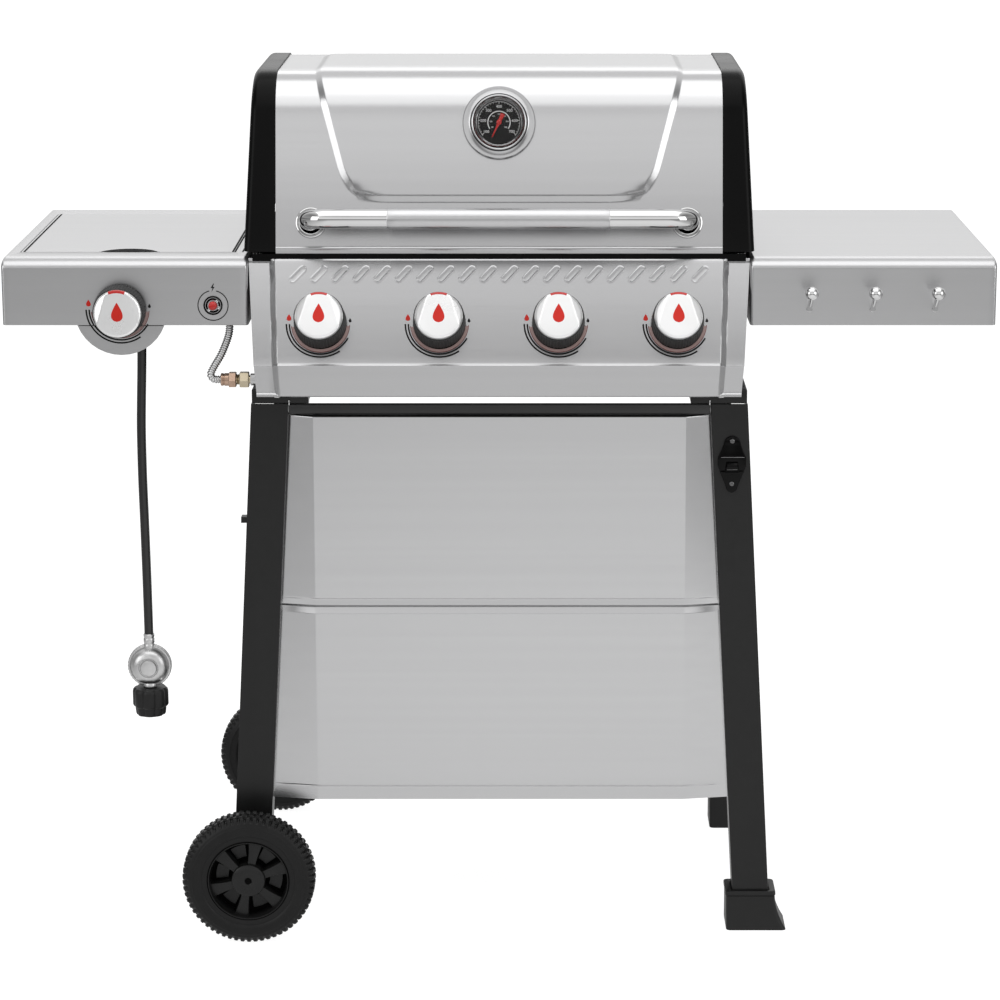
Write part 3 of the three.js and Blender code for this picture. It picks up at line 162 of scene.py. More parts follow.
def curve(tree, value, stops, reach=1.0):
    """A curve through (value, level) stops, for values from -reach to reach."""
    ramp_node = node(tree, "ValToRGB", {0: map_range(tree, value, -reach, reach)})
    points = ramp_node.color_ramp.elements
    while len(points) < len(stops):
        points.new(0.5)
    for point, (at, level) in zip(points, stops):
        point.position = (at + reach) / (2 * reach)
        point.color = grey(level)
    return ramp_node.outputs["Color"]


def lit_world():
    """A pale surround: white where seen, softer where it lights, and graded by direction in mirrors."""
    world = bpy.data.worlds.new("surround")
    world.use_nodes = True
    tree = world.node_tree
    path = node(tree, "LightPath").outputs
    x, y, z = node(tree, "SeparateXYZ", {0: node(tree, "TexCoord").outputs["Generated"]}).outputs
    front, behind = (curve(tree, z, stops) for stops in (MIRRORED_FRONT, MIRRORED_BACK))
    by_depth = mix_value(tree, map_range(tree, y, -0.25, 0.35), front, behind)
    by_side = map_range(tree, maths(tree, "ABSOLUTE", x), 0.55, 0.82, 1.0, SIDE_LEVEL)
    mirrored = maths(tree, "MULTIPLY", by_side, by_depth)
    lighting = mix_value(tree, path["Is Glossy Ray"], MATT_SHARE, mirrored)
    seen = maths(tree, "MAXIMUM", path["Is Camera Ray"], path["Is Transmission Ray"])
    feed(tree, tree.nodes["Background"], {"Color": grey(1), "Strength": mix_value(tree, seen, lighting,
                                                                                  WHITE)})
    scene.world = world


lit_world()

FLOOR_REACH = 60.0
FLOOR_TONE = 0.36
FLOOR_SEEN, FLOOR_MIRRORED = 0.93, 0.84
# painted light in mirrors: a pool of glow at the front, dimmer near the grill as painted shade; (x, share)
# and (y, share)
FLOOR_POOL_ACROSS = [(-3.0, 0.3), (-1.3, 0.55), (-0.5, 0.9), (0.0, 1.0), (1.2, 1.0), (1.6, 0.55), (3.0, 0.3)]
FLOOR_POOL_ALONG = [(-12.0, 0.35), (-6.5, 0.6), (-3.6, 1.0), (-1.2, 0.93), (-0.3, 0.8), (0.6, 0.8), (3.0, 1.0),
              (12.0, 0.5)]


def pale_floor():
    """A wide flat floor that keeps a faint shadow; in mirrors its glow is a painted pool of light at the
    front, dimmed near the grill as painted shade.
    """
    mesh = bpy.data.meshes.new("floor")
    corners = [(x * FLOOR_REACH, y * FLOOR_REACH, 0) for x, y in ((-1, -1), (1, -1), (1, 1), (-1, 1))]
    mesh.from_pydata(corners, [], [(0, 1, 2, 3)])
    floor = bpy.data.objects.new("floor", mesh)
    scene.collection.objects.link(floor)
    paint = bpy.data.materials.new("floor_paint")
    paint.use_nodes = True
    tree = paint.node_tree
    tree.nodes.clear()
    path = node(tree, "LightPath").outputs
    x, y, _ = node(tree, "SeparateXYZ", {0: node(tree, "NewGeometry").outputs["Position"]}).outputs
    share = maths(tree, "MULTIPLY", curve(tree, x, FLOOR_POOL_ACROSS, 3.0), curve(tree, y, FLOOR_POOL_ALONG, 12.0))
    mirrored = maths(tree, "MULTIPLY", share, FLOOR_MIRRORED)
    level = mix_value(tree, path["Is Glossy Ray"], 0.0, mirrored)
    glow = node(tree, "Emission", {"Strength": mix_value(tree, path["Is Camera Ray"], level, FLOOR_SEEN)})
    matt = node(tree, "BsdfDiffuse", {"Color": grey(FLOOR_TONE)})
    both = node(tree, "AddShader", enumerate((matt.outputs[0], glow.outputs[0])))
    node(tree, "OutputMaterial", {"Surface": both.outputs[0]})
    mesh.materials.append(paint)


pale_floor()

# ------------------------------------------------------------------ finishes
def effect(name, **inputs):
    """An empty shader node group; an input is a colour, a number or, where it is None, a vector."""
    tree = bpy.data.node_groups.new(name, "ShaderNodeTree")
    for label, value in inputs.items():
        kind = "Vector" if value is None else "Color" if isinstance(value, tuple) else "Float"
        socket = tree.interface.new_socket(label.replace("_", " "), in_out="INPUT",
                                           socket_type="NodeSocket" + kind)
        if value is not None:
            socket.default_value = value
    return tree, tree.nodes.new("NodeGroupInput").outputs


def give(tree, **outputs):
    """Ends the group: a colour, and numbers such as a roughness or a height."""
    for label in outputs:
        kind = "NodeSocketColor" if label == "Color" else "NodeSocketFloat"
        tree.interface.new_socket(label, in_out="OUTPUT", socket_type=kind)
    feed(tree, tree.nodes.new("NodeGroupOutput"), outputs)
    return tree


def noise(tree, where, scale, detail, roughness=0.5):
    inputs = {"Vector": where, "Scale": scale, "Detail": detail, "Roughness": roughness}
    return node(tree, "TexNoise", inputs).outputs[0]


def between(tree, value, low=0.0, high=1.0):
    """From noise's usual middle band to low and high."""
    return map_range(tree, value, 0.3, 0.7, low, high)


def make_sheet_grain():
    """Rolled and brushed sheet: hairlines from a stretched noise, broad bands from a slower one."""
    tree, given = effect("sheet_grain", Vector=None, Dark=grey(0.4), Light=grey(0.6), Rough_Low=0.2,
                         Rough_High=0.35)
    hair = noise(tree, given["Vector"], 1.0, 3.0, 0.6)
    bands = maths(tree, "MULTIPLY", noise(tree, given["Vector"], 0.035, 1.0), 0.55)
    both = maths(tree, "MULTIPLY_ADD", hair, 0.45, bands)
    return give(tree, Color=mix_colour(tree, between(tree, both), given["Dark"], given["Light"]),
                Roughness=between(tree, hair, given["Rough Low"], given["Rough High"]), Height=hair)


def make_moulded_skin():
    """Painted, cast or moulded skin: fine pimples, slow clouds of tone and a change of gloss."""
    tree, given = effect("moulded_skin", Vector=None, Pimples=900.0, Clouds=12.0, Dark=grey(0.02),
                         Light=grey(0.03),
                         Rough_Low=0.4, Rough_High=0.5)
    cloud = noise(tree, given["Vector"], given["Clouds"], 4.0, 0.6)
    return give(tree, Color=mix_colour(tree, between(tree, cloud), given["Dark"], given["Light"]),
                Roughness=between(tree, cloud, given["Rough Low"], given["Rough High"]),
                Height=noise(tree, given["Vector"], given["Pimples"], 2.0))


EDGE_SHARE = 0.6  # of the bare colour on the sharpest edge


def make_edge_rub():
    """Rubbed edges: where the surface is sharply convex the colour goes lighter, broken by noise."""
    tree, given = effect("edge_rub", Vector=None, Color=grey(0), Bare=grey(0.2))
    convex = map_range(tree, node(tree, "NewGeometry").outputs["Pointiness"], 0.53, 0.66)
    patchy = maths(tree, "MULTIPLY", convex, noise(tree, given["Vector"], 60.0, 3.0))
    share = maths(tree, "MULTIPLY", patchy, EDGE_SHARE, use_clamp=True)
    return give(tree, Color=mix_colour(tree, share, given["Color"], given["Bare"]))


SHEET_GRAIN = make_sheet_grain()
MOULDED_SKIN = make_moulded_skin()
EDGE_RUB = make_edge_rub()
ACROSS_GRAIN, ALONG_GRAIN = 2600.0, 24.0  # noise cells to the metre


def blank(name):
    """A new material, its nodes, its Principled shader and the object's coordinates."""
    made = bpy.data.materials.new(name)
    made.use_nodes = True
    tree = made.node_tree
    return made, tree, tree.nodes["Principled BSDF"], node(tree, "TexCoord").outputs["Object"]


def dress_shader(tree, shader, base, colour, depth):
    """Feeds the shader a colour, and the base effect's roughness and relief, which is depth metres deep."""
    bump = node(tree, "Bump", {"Strength": 1.0, "Distance": depth, "Height": base.outputs["Height"]})
    feed(tree, shader, {"Base Color": colour, "Roughness": base.outputs["Roughness"],
                        "Normal": bump.outputs[0]})


def steel(name, tone, rough=(0.2, 0.25), along="x", tint=(1.0, 1.0, 1.01), depth=0.000002, spread=0.02,
          painted_shade=None):
    """Brushed stainless sheet; the grain runs along the named axis. Its tone may be scaled between two
    heights: painted shade.
    """
    made, tree, shader, where = blank(name)
    scale = [ALONG_GRAIN if axis == along else ACROSS_GRAIN for axis in "xyz"]
    grain = node(tree, "Group", node_tree=SHEET_GRAIN)
    feed(tree, grain, {"Vector": node(tree, "Mapping", {"Vector": where, "Scale": scale}).outputs[0],
                       "Dark": grey(tone * (1 - spread), tint), "Light": grey(tone * (1 + spread), tint),
                       "Rough Low": rough[0], "Rough High": rough[1]})
    colour = grain.outputs["Color"]
    # painted shade: the colour is scaled by a share that changes smoothly with height
    if painted_shade:
        low, low_share, high, high_share = painted_shade
        height = node(tree, "SeparateXYZ", {0: where}).outputs[2]
        share = map_range(tree, height, low, high, low_share, high_share, interpolation_type="SMOOTHSTEP")
        colour = node(tree, "VectorMath", {0: colour, "Scale": share}, operation="SCALE").outputs[0]
    shader.inputs["Metallic"].default_value = 1.0
    dress_shader(tree, shader, grain, colour, depth)
    return made


def skin(name, tones, rough, metal=0.0, pimples=900.0, clouds=12.0, depth=0.00004, coat=0.0,
         bare=None, shine=0.5):
    """A painted, cast, plated or moulded finish between two tones; its rubbed edges may be bare."""
    made, tree, shader, where = blank(name)
    dark, light = (grey(tone) if isinstance(tone, float) else (*tone, 1.0) for tone in tones)
    body = node(tree, "Group", node_tree=MOULDED_SKIN)
    feed(tree, body, {"Vector": where, "Pimples": pimples, "Clouds": clouds, "Dark": dark, "Light": light,
                      "Rough Low": rough[0], "Rough High": rough[1]})
    colour = body.outputs["Color"]
    if bare:
        edge = node(tree, "Group", node_tree=EDGE_RUB)
        feed(tree, edge, {"Vector": where, "Color": colour, "Bare": bare})
        colour = edge.outputs["Color"]
    feed(tree, shader, {"Metallic": metal, "Specular IOR Level": shine, "Coat Weight": coat,
                        "Coat Roughness": 0.12})
    dress_shader(tree, shader, body, colour, depth)
    return made


LID_STEEL = steel("lid_steel", 0.52, painted_shade=(0.935, 0.78, 1.07, 1.0))  # painted shade: the lid's tone darkens towards its lower edge; height, share, height, share
PANEL_STEEL = steel("panel_steel", 0.42)
SHELF_STEEL = steel("shelf_steel", 0.47, rough=(0.28, 0.33))
CART_STEEL = steel("cart_steel", 0.50)
PLAIN_STEEL = steel("plain_steel", 0.42, rough=(0.3, 0.42), along="y")
BURNER_STEEL = steel("burner_steel", 0.30, rough=(0.36, 0.5), along="y", tint=(1.0, 0.93, 0.84), spread=0.2)
TAMER_STEEL = steel("tamer_steel", 0.26, rough=(0.34, 0.5), along="y", tint=(1.0, 0.95, 0.88), spread=0.25)
GRIP_STEEL = steel("grip_steel", 0.5, rough=(0.28, 0.36), along="x", depth=0.000006, spread=0.05)
# grey metal for painted light: a dark reflection inside the thermometer's bezel and highlight lines on the
# opener
PAINTED_REFLECTION_STEEL = skin("painted_reflection_steel", (0.2, 0.24), (0.1, 0.16), metal=1.0, pimples=300, depth=0.000003)
DISH_STEEL = steel("dish_steel", 0.46, rough=(0.16, 0.22), along="x")
CAP_SILVER = skin("cap_silver", (0.84, 0.88), (0.26, 0.32), metal=0.75, depth=0.000004)
CHROME = skin("chrome", (0.58, 0.62), (0.04, 0.08), metal=1.0, pimples=300, depth=0.000003)
ZINC = skin("zinc", (0.4, 0.5), (0.28, 0.42), metal=1.0, pimples=500, clouds=60)
CAST_ZINC = skin("cast_zinc", (0.5, 0.6), (0.3, 0.4), metal=1.0, pimples=700, clouds=80, depth=0.00006)
BRASS = skin("brass", ((0.44, 0.38, 0.27), (0.54, 0.47, 0.35)), (0.25, 0.38), metal=1.0, clouds=90)
COPPER = skin("copper", ((0.38, 0.26, 0.19), (0.48, 0.34, 0.26)), (0.22, 0.36), metal=1.0, clouds=90)
POWDER_COAT = skin("powder_coat", (0.005, 0.008), (0.3, 0.4), depth=0.00003, pimples=1100, bare=grey(0.03),
                   shine=0.3)
CAST_BLACK = skin("cast_black", (0.001, 0.002), (0.22, 0.3), depth=0.00001, pimples=500, bare=grey(0.008),
                  shine=0.08)
CAST_GLOSS = skin("cast_gloss", (0.001, 0.002), (0.13, 0.2), depth=0.00001, pimples=500, bare=grey(0.006),
                  shine=0.12)
# painted light: a lighter copy of the black powder coat, for the front crossbar
LIGHTER_POWDER_COAT = skin("crossbar_coat_painted_light", (0.03, 0.04), (0.3, 0.4), depth=0.00003, pimples=1100, bare=grey(0.05),
                     shine=0.4)
ENAMEL = skin("enamel", (0.012, 0.02), (0.3, 0.5), pimples=260, clouds=25, depth=0.0001, coat=0.2)
GRATE_IRON = skin("grate_iron", (0.014, 0.03), (0.42, 0.6), pimples=420, clouds=40, depth=0.00025,
                  bare=grey(0.06))
HOSE_RUBBER = skin("hose_rubber", (0.006, 0.009), (0.17, 0.24), pimples=1500, clouds=50, depth=0.00001)
TYRE_RUBBER = skin("tyre_rubber", (0.006, 0.01), (0.34, 0.46), pimples=900, clouds=40, depth=0.00006,
                   shine=0.22)
RIM_PLASTIC = skin("rim_plastic", (0.006, 0.009), (0.26, 0.36), pimples=800, clouds=30, depth=0.00002,
                   shine=0.3)
BOOT_PLASTIC = skin("boot_plastic", (0.008, 0.012), (0.42, 0.52), pimples=700, clouds=20, depth=0.00008,
                    shine=0.3)
SKIRT_PLASTIC = skin("skirt_plastic", (0.012, 0.018), (0.38, 0.5), pimples=900, shine=0.35)
RED_PLASTIC = skin("red_plastic", ((0.56, 0.015, 0.012), (0.62, 0.02, 0.016)), (0.2, 0.3), coat=0.2)
RED_PRINT = skin("red_print", ((0.66, 0.03, 0.02), (0.72, 0.035, 0.025)), (0.36, 0.44), depth=0.00001,
                 shine=0.2)
WINE_PRINT = skin("wine_print", ((0.16, 0.03, 0.03), (0.19, 0.035, 0.033)), (0.36, 0.44), depth=0.00001,
                  shine=0.2)
ROSE_PRINT = skin("rose_print", ((0.47, 0.33, 0.31), (0.51, 0.36, 0.34)), (0.36, 0.44), depth=0.00001,
                  shine=0.2)
BLACK_PRINT = skin("black_print", (0.004, 0.006), (0.4, 0.5), depth=0.00001, shine=0.15)
WHITE_PRINT = skin("white_print", (0.8, 0.86), (0.4, 0.5), depth=0.00001)
DIAL_BLACK = skin("dial_black", (0.005, 0.008), (0.35, 0.45), depth=0.00001, shine=0.2)
SCREW_BLACK = skin("screw_black", (0.1, 0.13), (0.05, 0.1), metal=1.0, depth=0.00001)
# near-black: the igniter's black collar and cup, and painted shade in gaps, grooves, seams and recesses
BLACK_AND_PAINTED_SHADE = skin("black_and_painted_shade", (0.001, 0.002), (0.6, 0.7), shine=0.05)


def make_lens():
    """Clear cover of the dial: mostly see-through, with a polished surface."""
    made, tree, shader, where = blank("lens_glass")
    smear = between(tree, noise(tree, where, 30.0, 2.0), 0.03, 0.07)
    feed(tree, shader, {"Base Color": grey(0.01), "Alpha": 0.08, "Roughness": smear})
    return made


LENS = make_lens()

# ------------------------------------------------------------------ mesh tools
def quads(rows, columns, wrap_rows, wrap_columns):
    """Corner numbers of the quad between each point of a grid and its next row and column."""
    i = np.arange(rows if wrap_rows else rows - 1)[:, None]
    j = np.arange(columns if wrap_columns else columns - 1)[None, :]
    i2, j2 = (i + 1) % rows, (j + 1) % columns
    corners = [i * columns + j, i2 * columns + j, i2 * columns + j2, i * columns + j2]
    return np.stack(np.broadcast_arrays(*corners), -1).reshape(-1, 4)


def grid(points, wrap_rows=False, wrap_columns=False):
    """Points and faces of one surface given as rows x columns x 3."""
    points = np.asarray(points, float)
    rows, columns, _ = points.shape
    return points.reshape(-1, 3), quads(rows, columns, wrap_rows, wrap_columns).tolist()


def polar(radius, angle, *height):
    """Points at a radius and an angle, and at a height where one is given."""
    return np.stack(np.broadcast_arrays(radius * np.cos(angle), radius * np.sin(angle), *height), -1)


def full_turn(steps):
    return np.linspace(0, 2 * np.pi, steps, endpoint=False)


def at_height(flat, height):
    return np.concatenate([flat, np.full((len(flat), 1), height)], 1)


def pole(point, count):
    """One point as a whole row, which closes a surface."""
    return np.tile(np.asarray(point, float), (count, 1))


def capped(rows):
    """The rows, with a pole at the middle of the first and of the last."""
    first, last = (pole(rows[end].mean(0), len(rows[end])) for end in (0, -1))
    return np.array([first, *rows, last])


def edited(mesh, *changes):
    """Runs changes on the mesh, each a function of its bmesh."""
    work = bmesh.new()
    work.from_mesh(mesh)
    for change in changes:
        change(work)
    work.to_mesh(mesh)
    work.free()
    return mesh


def merge_doubles(work):
    bmesh.ops.remove_doubles(work, verts=work.verts, dist=2e-6)


def face_outwards(work):
    bmesh.ops.recalc_face_normals(work, faces=work.faces)


def cut_polygons(work):
    bmesh.ops.triangulate(work, faces=[f for f in work.faces if len(f.verts) > 4])


def join_flat_faces(work):
    bmesh.ops.dissolve_limit(work, angle_limit=math.radians(1.5), verts=work.verts, edges=work.edges)


def new_mesh(name, points, faces):
    mesh = bpy.data.meshes.new(name)
    mesh.from_pydata(place(np.concatenate(points)).tolist(), [], faces)
    return mesh


def dressed(name, mesh, finish, body, crease, stands_for=()):
    """Gives a mesh its finish, smooth shading up to the crease angle, its body and its CAD nodes."""
    mesh.materials.clear()
    mesh.materials.append(finish)
    mesh.polygons.foreach_set("use_smooth", np.ones(len(mesh.polygons), bool))
    mesh.set_sharp_from_angle(angle=math.radians(crease))
    piece = bpy.data.objects.new(name, mesh)
    scene.collection.objects.link(piece)
    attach(piece, body)
    if stands_for:
        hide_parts(*stands_for)
    return piece


def solid(name, grids, finish, body, stands_for, crease=35):
    """One piece from several surfaces whose shared edges are merged."""
    points, faces, start = [], [], 0
    for part_points, part_faces in grids:
        points.append(part_points)
        faces += [[corner + start for corner in face] for face in part_faces]
        start += len(part_points)
    mesh = edited(new_mesh(name, points, faces), merge_doubles, face_outwards)
    return dressed(name, mesh, finish, body, crease, stands_for)


def walls(outer, inner):
    """A sheet between two grids of one shape: both faces and the four strips that close its edges."""
    outer, inner = np.asarray(outer, float), np.asarray(inner, float)
    parts = [grid(outer), grid(inner)]
    for edge in ((0, slice(None)), (-1, slice(None)), (slice(None), 0), (slice(None), -1)):
        parts.append(grid(np.stack([outer[edge], inner[edge]])))
    return parts


def unit(vector):
    vector = np.asarray(vector, float)
    return vector / np.linalg.norm(vector, axis=-1, keepdims=True)


class Seat:
    """A local frame: z runs out of the surface, y is its upward direction, x completes it."""

    def __init__(self, origin, out, up=(0, 0, 1)):
        self.origin = np.asarray(origin, float)
        self.z = unit(out)
        side = np.cross(np.asarray(up, float), self.z)
        self.x = unit(side)
        self.y = np.cross(self.z, self.x)

    def to(self, points):
        """Local millimetres to the cart's frame: origin plus x, y and z shares of the axes."""
        points = np.asarray(points, float)
        return self.origin + points @ np.stack([self.x, self.y, self.z])

    def turned_to(self, degrees):
        """The same seat with its upward direction at that angle from its x."""
        return Seat(self.origin, self.z, self.to(polar(1.0, math.radians(degrees), 0)) - self.origin)


def turned(seat, profile, steps, ripple=None):
    """Carries a profile of (radius, height) round the seat's z; ripple(angle, row) scales the radius."""
    radius, height = np.asarray(profile, float).T
    angle = full_turn(steps)
    reach = radius[:, None]
    if ripple is not None:
        reach = reach * ripple(angle[None, :], np.arange(len(radius))[:, None])
    return grid(seat.to(polar(reach, angle, height[:, None])), wrap_columns=True)


def rounded(points, radii, step, arc_steps):
    """A polyline whose corners are replaced by arcs of the given radii, straight runs cut to step."""
    points = np.asarray(points, float)
    line = [points[0]]
    for k in range(1, len(points) - 1):
        corner, radius = points[k], radii[k]
        before, after = unit(points[k - 1] - corner), unit(points[k + 1] - corner)
        if radius <= 0:
            line.append(corner)
            continue
        half = math.acos(np.clip(before @ after, -1, 1)) / 2
        back = radius / math.tan(half)
        centre = corner + unit(before + after) * radius / math.sin(half)
        first, last = corner + before * back - centre, corner + after * back - centre
        turn = math.pi - 2 * half
        for share in np.linspace(0, 1, arc_steps + 1):
            a, b = math.sin((1 - share) * turn), math.sin(share * turn)
            line.append(centre + (first * a + last * b) / math.sin(turn))
    line.append(points[-1])
    dense = [line[0]]
    for a, b in zip(line[:-1], line[1:]):
        parts = max(1, int(np.linalg.norm(b - a) / step))
        dense += [a + (b - a) * k / parts for k in range(1, parts + 1)]
    return np.array(dense)


def carried(path, radius, sides):
    """A round bar: rings square to the path, each turned from the last by the least angle."""
    path = np.asarray(path, float)
    radius = np.broadcast_to(np.asarray(radius, float), (len(path),))
    along = unit(np.gradient(path, axis=0))
    side = np.cross(along[0], (0.3, 0.2, 1.0))
    rings = []
    angle = full_turn(sides)
    for centre, forward, reach in zip(path, along, radius):
        side = unit(side - forward * (side @ forward))
        other = np.cross(forward, side)
        rings.append(centre + reach * (np.cos(angle)[:, None] * side + np.sin(angle)[:, None] * other))
    rings = [pole(path[0], sides), *rings, pole(path[-1], sides)]
    return grid(np.array(rings), wrap_columns=True)


def smooth_path(points, count):
    """A smooth curve through points: a Catmull-Rom spline sampled evenly by length."""
    points = np.asarray(points, float)
    padded = np.concatenate([2 * points[:1] - points[1:2], points, 2 * points[-1:] - points[-2:-1]])
    t = np.linspace(0, 1, 24, endpoint=False)[:, None]
    runs = []
    for a, b, c, d in zip(padded[:-3], padded[1:-2], padded[2:-1], padded[3:]):
        square, cube = 2 * a - 5 * b + 4 * c - d, 3 * b - a - 3 * c + d
        runs.append(0.5 * (2 * b + (c - a) * t + square * t**2 + cube * t**3))
    dense = np.concatenate(runs + [points[-1:]])
    length = np.concatenate([[0], np.cumsum(np.linalg.norm(np.diff(dense, axis=0), axis=1))])
    where = np.linspace(0, length[-1], count)
    return np.stack([np.interp(where, length, dense[:, k]) for k in range(3)], -1)


def block(low, high, edge, seat=None):
    """A box between two corners, edges rounded: rings are rectangles drawn in along a quarter circle."""
    low, high = np.minimum(low, high).astype(float), np.maximum(low, high).astype(float)
    middle, half = (low + high) / 2, (high - low) / 2
    edge = min(edge, 0.98 * half.min())
    turn = np.radians(np.concatenate([np.linspace(k * 90, k * 90 + 90, 4) for k in range(4)]))
    corner = np.repeat(np.array([(1, 1), (-1, 1), (-1, -1), (1, -1)]), 4, 0) * (half[:2] - edge)
    fall = np.linspace(0, np.pi / 2, 4)
    inset, rise = edge * (1 - np.sin(fall)), edge * (1 - np.cos(fall))

    def ring(drawn_in, height):
        return at_height(middle[:2] + corner + polar(edge - drawn_in, turn), height)

    rows = [pole((*middle[:2], low[2]), 16)] + [ring(i, low[2] + r) for i, r in zip(inset, rise)]
    rows += [ring(i, high[2] - r) for i, r in zip(inset[::-1], rise[::-1])] + [pole((*middle[:2], high[2]),
                                                                                    16)]
    points = np.array(rows)
    return grid(points if seat is None else seat.to(points), wrap_columns=True)


def printed(name, seat, outlines, finish, body, lift=0.05, thick=0.12):
    """Flat printed shapes: each outline becomes a thin plate just above its seat."""
    points, faces, start = [], [], 0
    for outline in outlines:
        outline = np.asarray(outline, float)
        count = len(outline)
        points += [seat.to(at_height(outline, height)) for height in (lift, lift + thick)]
        low, high = range(start, start + count), range(start + count, start + 2 * count)
        faces += [list(high), list(low)[::-1]]
        for k in range(count):
            after = (k + 1) % count
            faces.append([low[k], low[after], high[after], high[k]])
        start += 2 * count
    mesh = edited(new_mesh(name, points, faces), cut_polygons, merge_doubles, face_outwards)
    return dressed(name, mesh, finish, body, 20)


def arc_outline(inner, outer, start, end, steps=40):
    """A ring sector between two radii and two angles in degrees."""
    angle = np.radians(np.linspace(start, end, steps))
    return np.concatenate([polar(outer, angle), polar(inner, angle)[::-1]])


def flame_outline(height, width, centre):
    """A plain symmetric drop: half width is a sine of the height's share to a power, times a falling line."""
    t = np.linspace(0, 1, 26)
    half = width / 2 * np.sin(np.pi * t**0.62) ** 0.9 * (1 - 0.15 * t)
    right = np.stack([half, (t - 0.42) * height], -1)
    left = np.stack([-half[::-1], (t[::-1] - 0.42) * height], -1)
    return np.concatenate([right, left[1:-1]]) + centre


def softened(label, finish, width):
    """A copy of a CAD node with merged faces and edges rounded over a width, which stands for it."""
    source = frame["nodes"][label]
    mesh = edited(source.data.copy(), merge_doubles, join_flat_faces)
    piece = dressed(label + "_made", mesh, finish, source["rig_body"], 24, (label,))
    bevel = piece.modifiers.new("rounded", "BEVEL")
    bevel.width = width / 1000
    bevel.segments = 2
    bevel.limit_method = "ANGLE"
    bevel.angle_limit = math.radians(28)
    bevel.harden_normals = True
    bevel.miter_outer = "MITER_ARC"


# ------------------------------------------------------------------ hose, regulator and its nut
HOSE_RADIUS = 6.0
HOSE_ROUTE = [
    (-466.0, -202, 793.7), (-467.0, -202, 760), (-468.6, -202, 720), (-469.8, -202, 680),
    (-469.9, -202, 620), (-469.0, -202, 560), (-468.0, -202, 480), (-467.5, -202, 405.3),
]
REGULATOR = np.array([-467.5, -202.0, 361.0])


def hexagon(angle, row):
    """A hexagon's radius against the angle: the flat's distance over the cosine from its middle."""
    return 1 / np.cos(np.mod(angle, np.pi / 3) - np.pi / 6) + 0 * row


def make_hose():
    """The hose with its ferrule, the regulator's crimped dome and its lobed hand nut."""
    tube = solid("gas_hose_tube", [carried(smooth_path(HOSE_ROUTE, 90), HOSE_RADIUS, 28)], HOSE_RUBBER,
                 "cart",
                 ("gas_hose",))
    down = Seat((REGULATOR[0], REGULATOR[1], 0), (0, 0, 1), (0, 1, 0))
    front = Seat(REGULATOR, (0, -1, 0))

    def crimp(angle, row):
        return 1 + np.where((row >= 6) & (row <= 8), 0.012 * np.cos(38 * angle), 0)

    dome = [
        (0, -17), (12, -17), (14, -16), (24, -10), (28.4, -6), (29, -5), (29, 2.6), (28.2, 3.6), (26.6, 3.9),
        (25.8, 3.2), (25.2, 4.0), (24.6, 6.4), (22.8, 10.4), (19.4, 13.8), (15.4, 15.8), (13.2, 16.1),
        (12.4, 15.1), (11.6, 15.0), (11.0, 16.6), (10.2, 17.6), (8.6, 18.0), (0, 18.0),
    ]
    ferrule = [
        (0, 384), (5.2, 384), (7.0, 384.6), (7.3, 386), (7.3, 390), (6.7, 391), (6.7, 392.4), (7.3, 393.4),
        (7.3, 398), (6.7, 399), (6.7, 400.4), (7.3, 401.4), (7.3, 404.2), (6.6, 405), (0, 405),
    ]
    neck = [(0, 331.8), (8.2, 331.8), (9, 332.8), (9, 336), (8.4, 337), (8.4, 346), (0, 346)]
    pins = [carried([front.to(polar(22.2, a, 3)), front.to(polar(22.2, a, 11.6))], 1.5, 8)
            for a in np.radians([83, 223, -43])]
    stub = carried([(REGULATOR[0], REGULATOR[1], 301.5), (REGULATOR[0], REGULATOR[1], 335)], 6.0, 20)
    body = solid("regulator_body", [turned(front, dome, 152, crimp), turned(down, ferrule, 36),
                                    turned(down, neck, 36), stub, *pins], CAST_ZINC, "cart", ("regulator",))

    def lobes(angle, row):
        return 1 + np.where((row >= 2) & (row <= 9), 0.10 * np.abs(np.cos(4 * angle)) ** 0.7 - 0.03, 0)

    grip = [
        (6.4, 293), (15.5, 293), (17.8, 294), (18.6, 296), (19.4, 304.5), (21.4, 306), (22.2, 308), (22.2,
                                                                                                     326),
        (21.4, 329), (19.6, 331), (6.4, 331.4), (6.4, 293),
    ]
    nut = solid("regulator_grip", [turned(down, grip, 128, lobes)], BOOT_PLASTIC, "regulator_nut",
                ("regulator_nut",))


make_hose()

# ------------------------------------------------------------------ lid
LID_LOW = 919.6
FRONT_ARC, BACK_ARC = (-126.0, 1084.0, 60.0, math.radians(12.5)), (85.0, 1034.0, 110.0, math.radians(11.0))


EASED = 46  # length over which the lid's folds ease in and out


def lid_table():
    """Run, point and outward direction along the lid's outline: line, arc, flat top, arc, line.

    The direction is averaged over a bell of EASED millimetres, and the points are its running sum.
    """
    low = LID_LOW
    y1, z1, r1, lean1 = FRONT_ARC
    y2, z2, r2, lean2 = BACK_ARC
    rise = (z1 + r1 * math.sin(lean1) - low) / math.cos(lean1)
    fall = (z2 + r2 * math.sin(lean2) - low) / math.cos(lean2)
    lengths = np.cumsum([0, rise, r1 * (np.pi / 2 - lean1), y2 - y1, r2 * (np.pi / 2 - lean2), fall])
    angles = [np.pi - lean1, np.pi - lean1, np.pi / 2, np.pi / 2, lean2, lean2]
    run = np.arange(0, lengths[-1], 1.0)
    bell = np.hanning(EASED)
    steady = np.interp(np.arange(-EASED, len(run) + EASED), lengths, angles)
    angle = np.convolve(steady, bell / bell.sum(), "same")[EASED:-EASED]
    start = y1 - r1 * math.cos(lean1) - (z1 + r1 * math.sin(lean1) - low) * math.tan(lean1)
    y = start + np.concatenate([[0], np.cumsum(np.sin(angle))[:-1]])
    z = low - np.concatenate([[0], np.cumsum(np.cos(angle))[:-1]])
    z -= np.clip(z.max() - (z1 + r1), 0, None)
    return run, y, z, np.cos(angle), np.sin(angle)


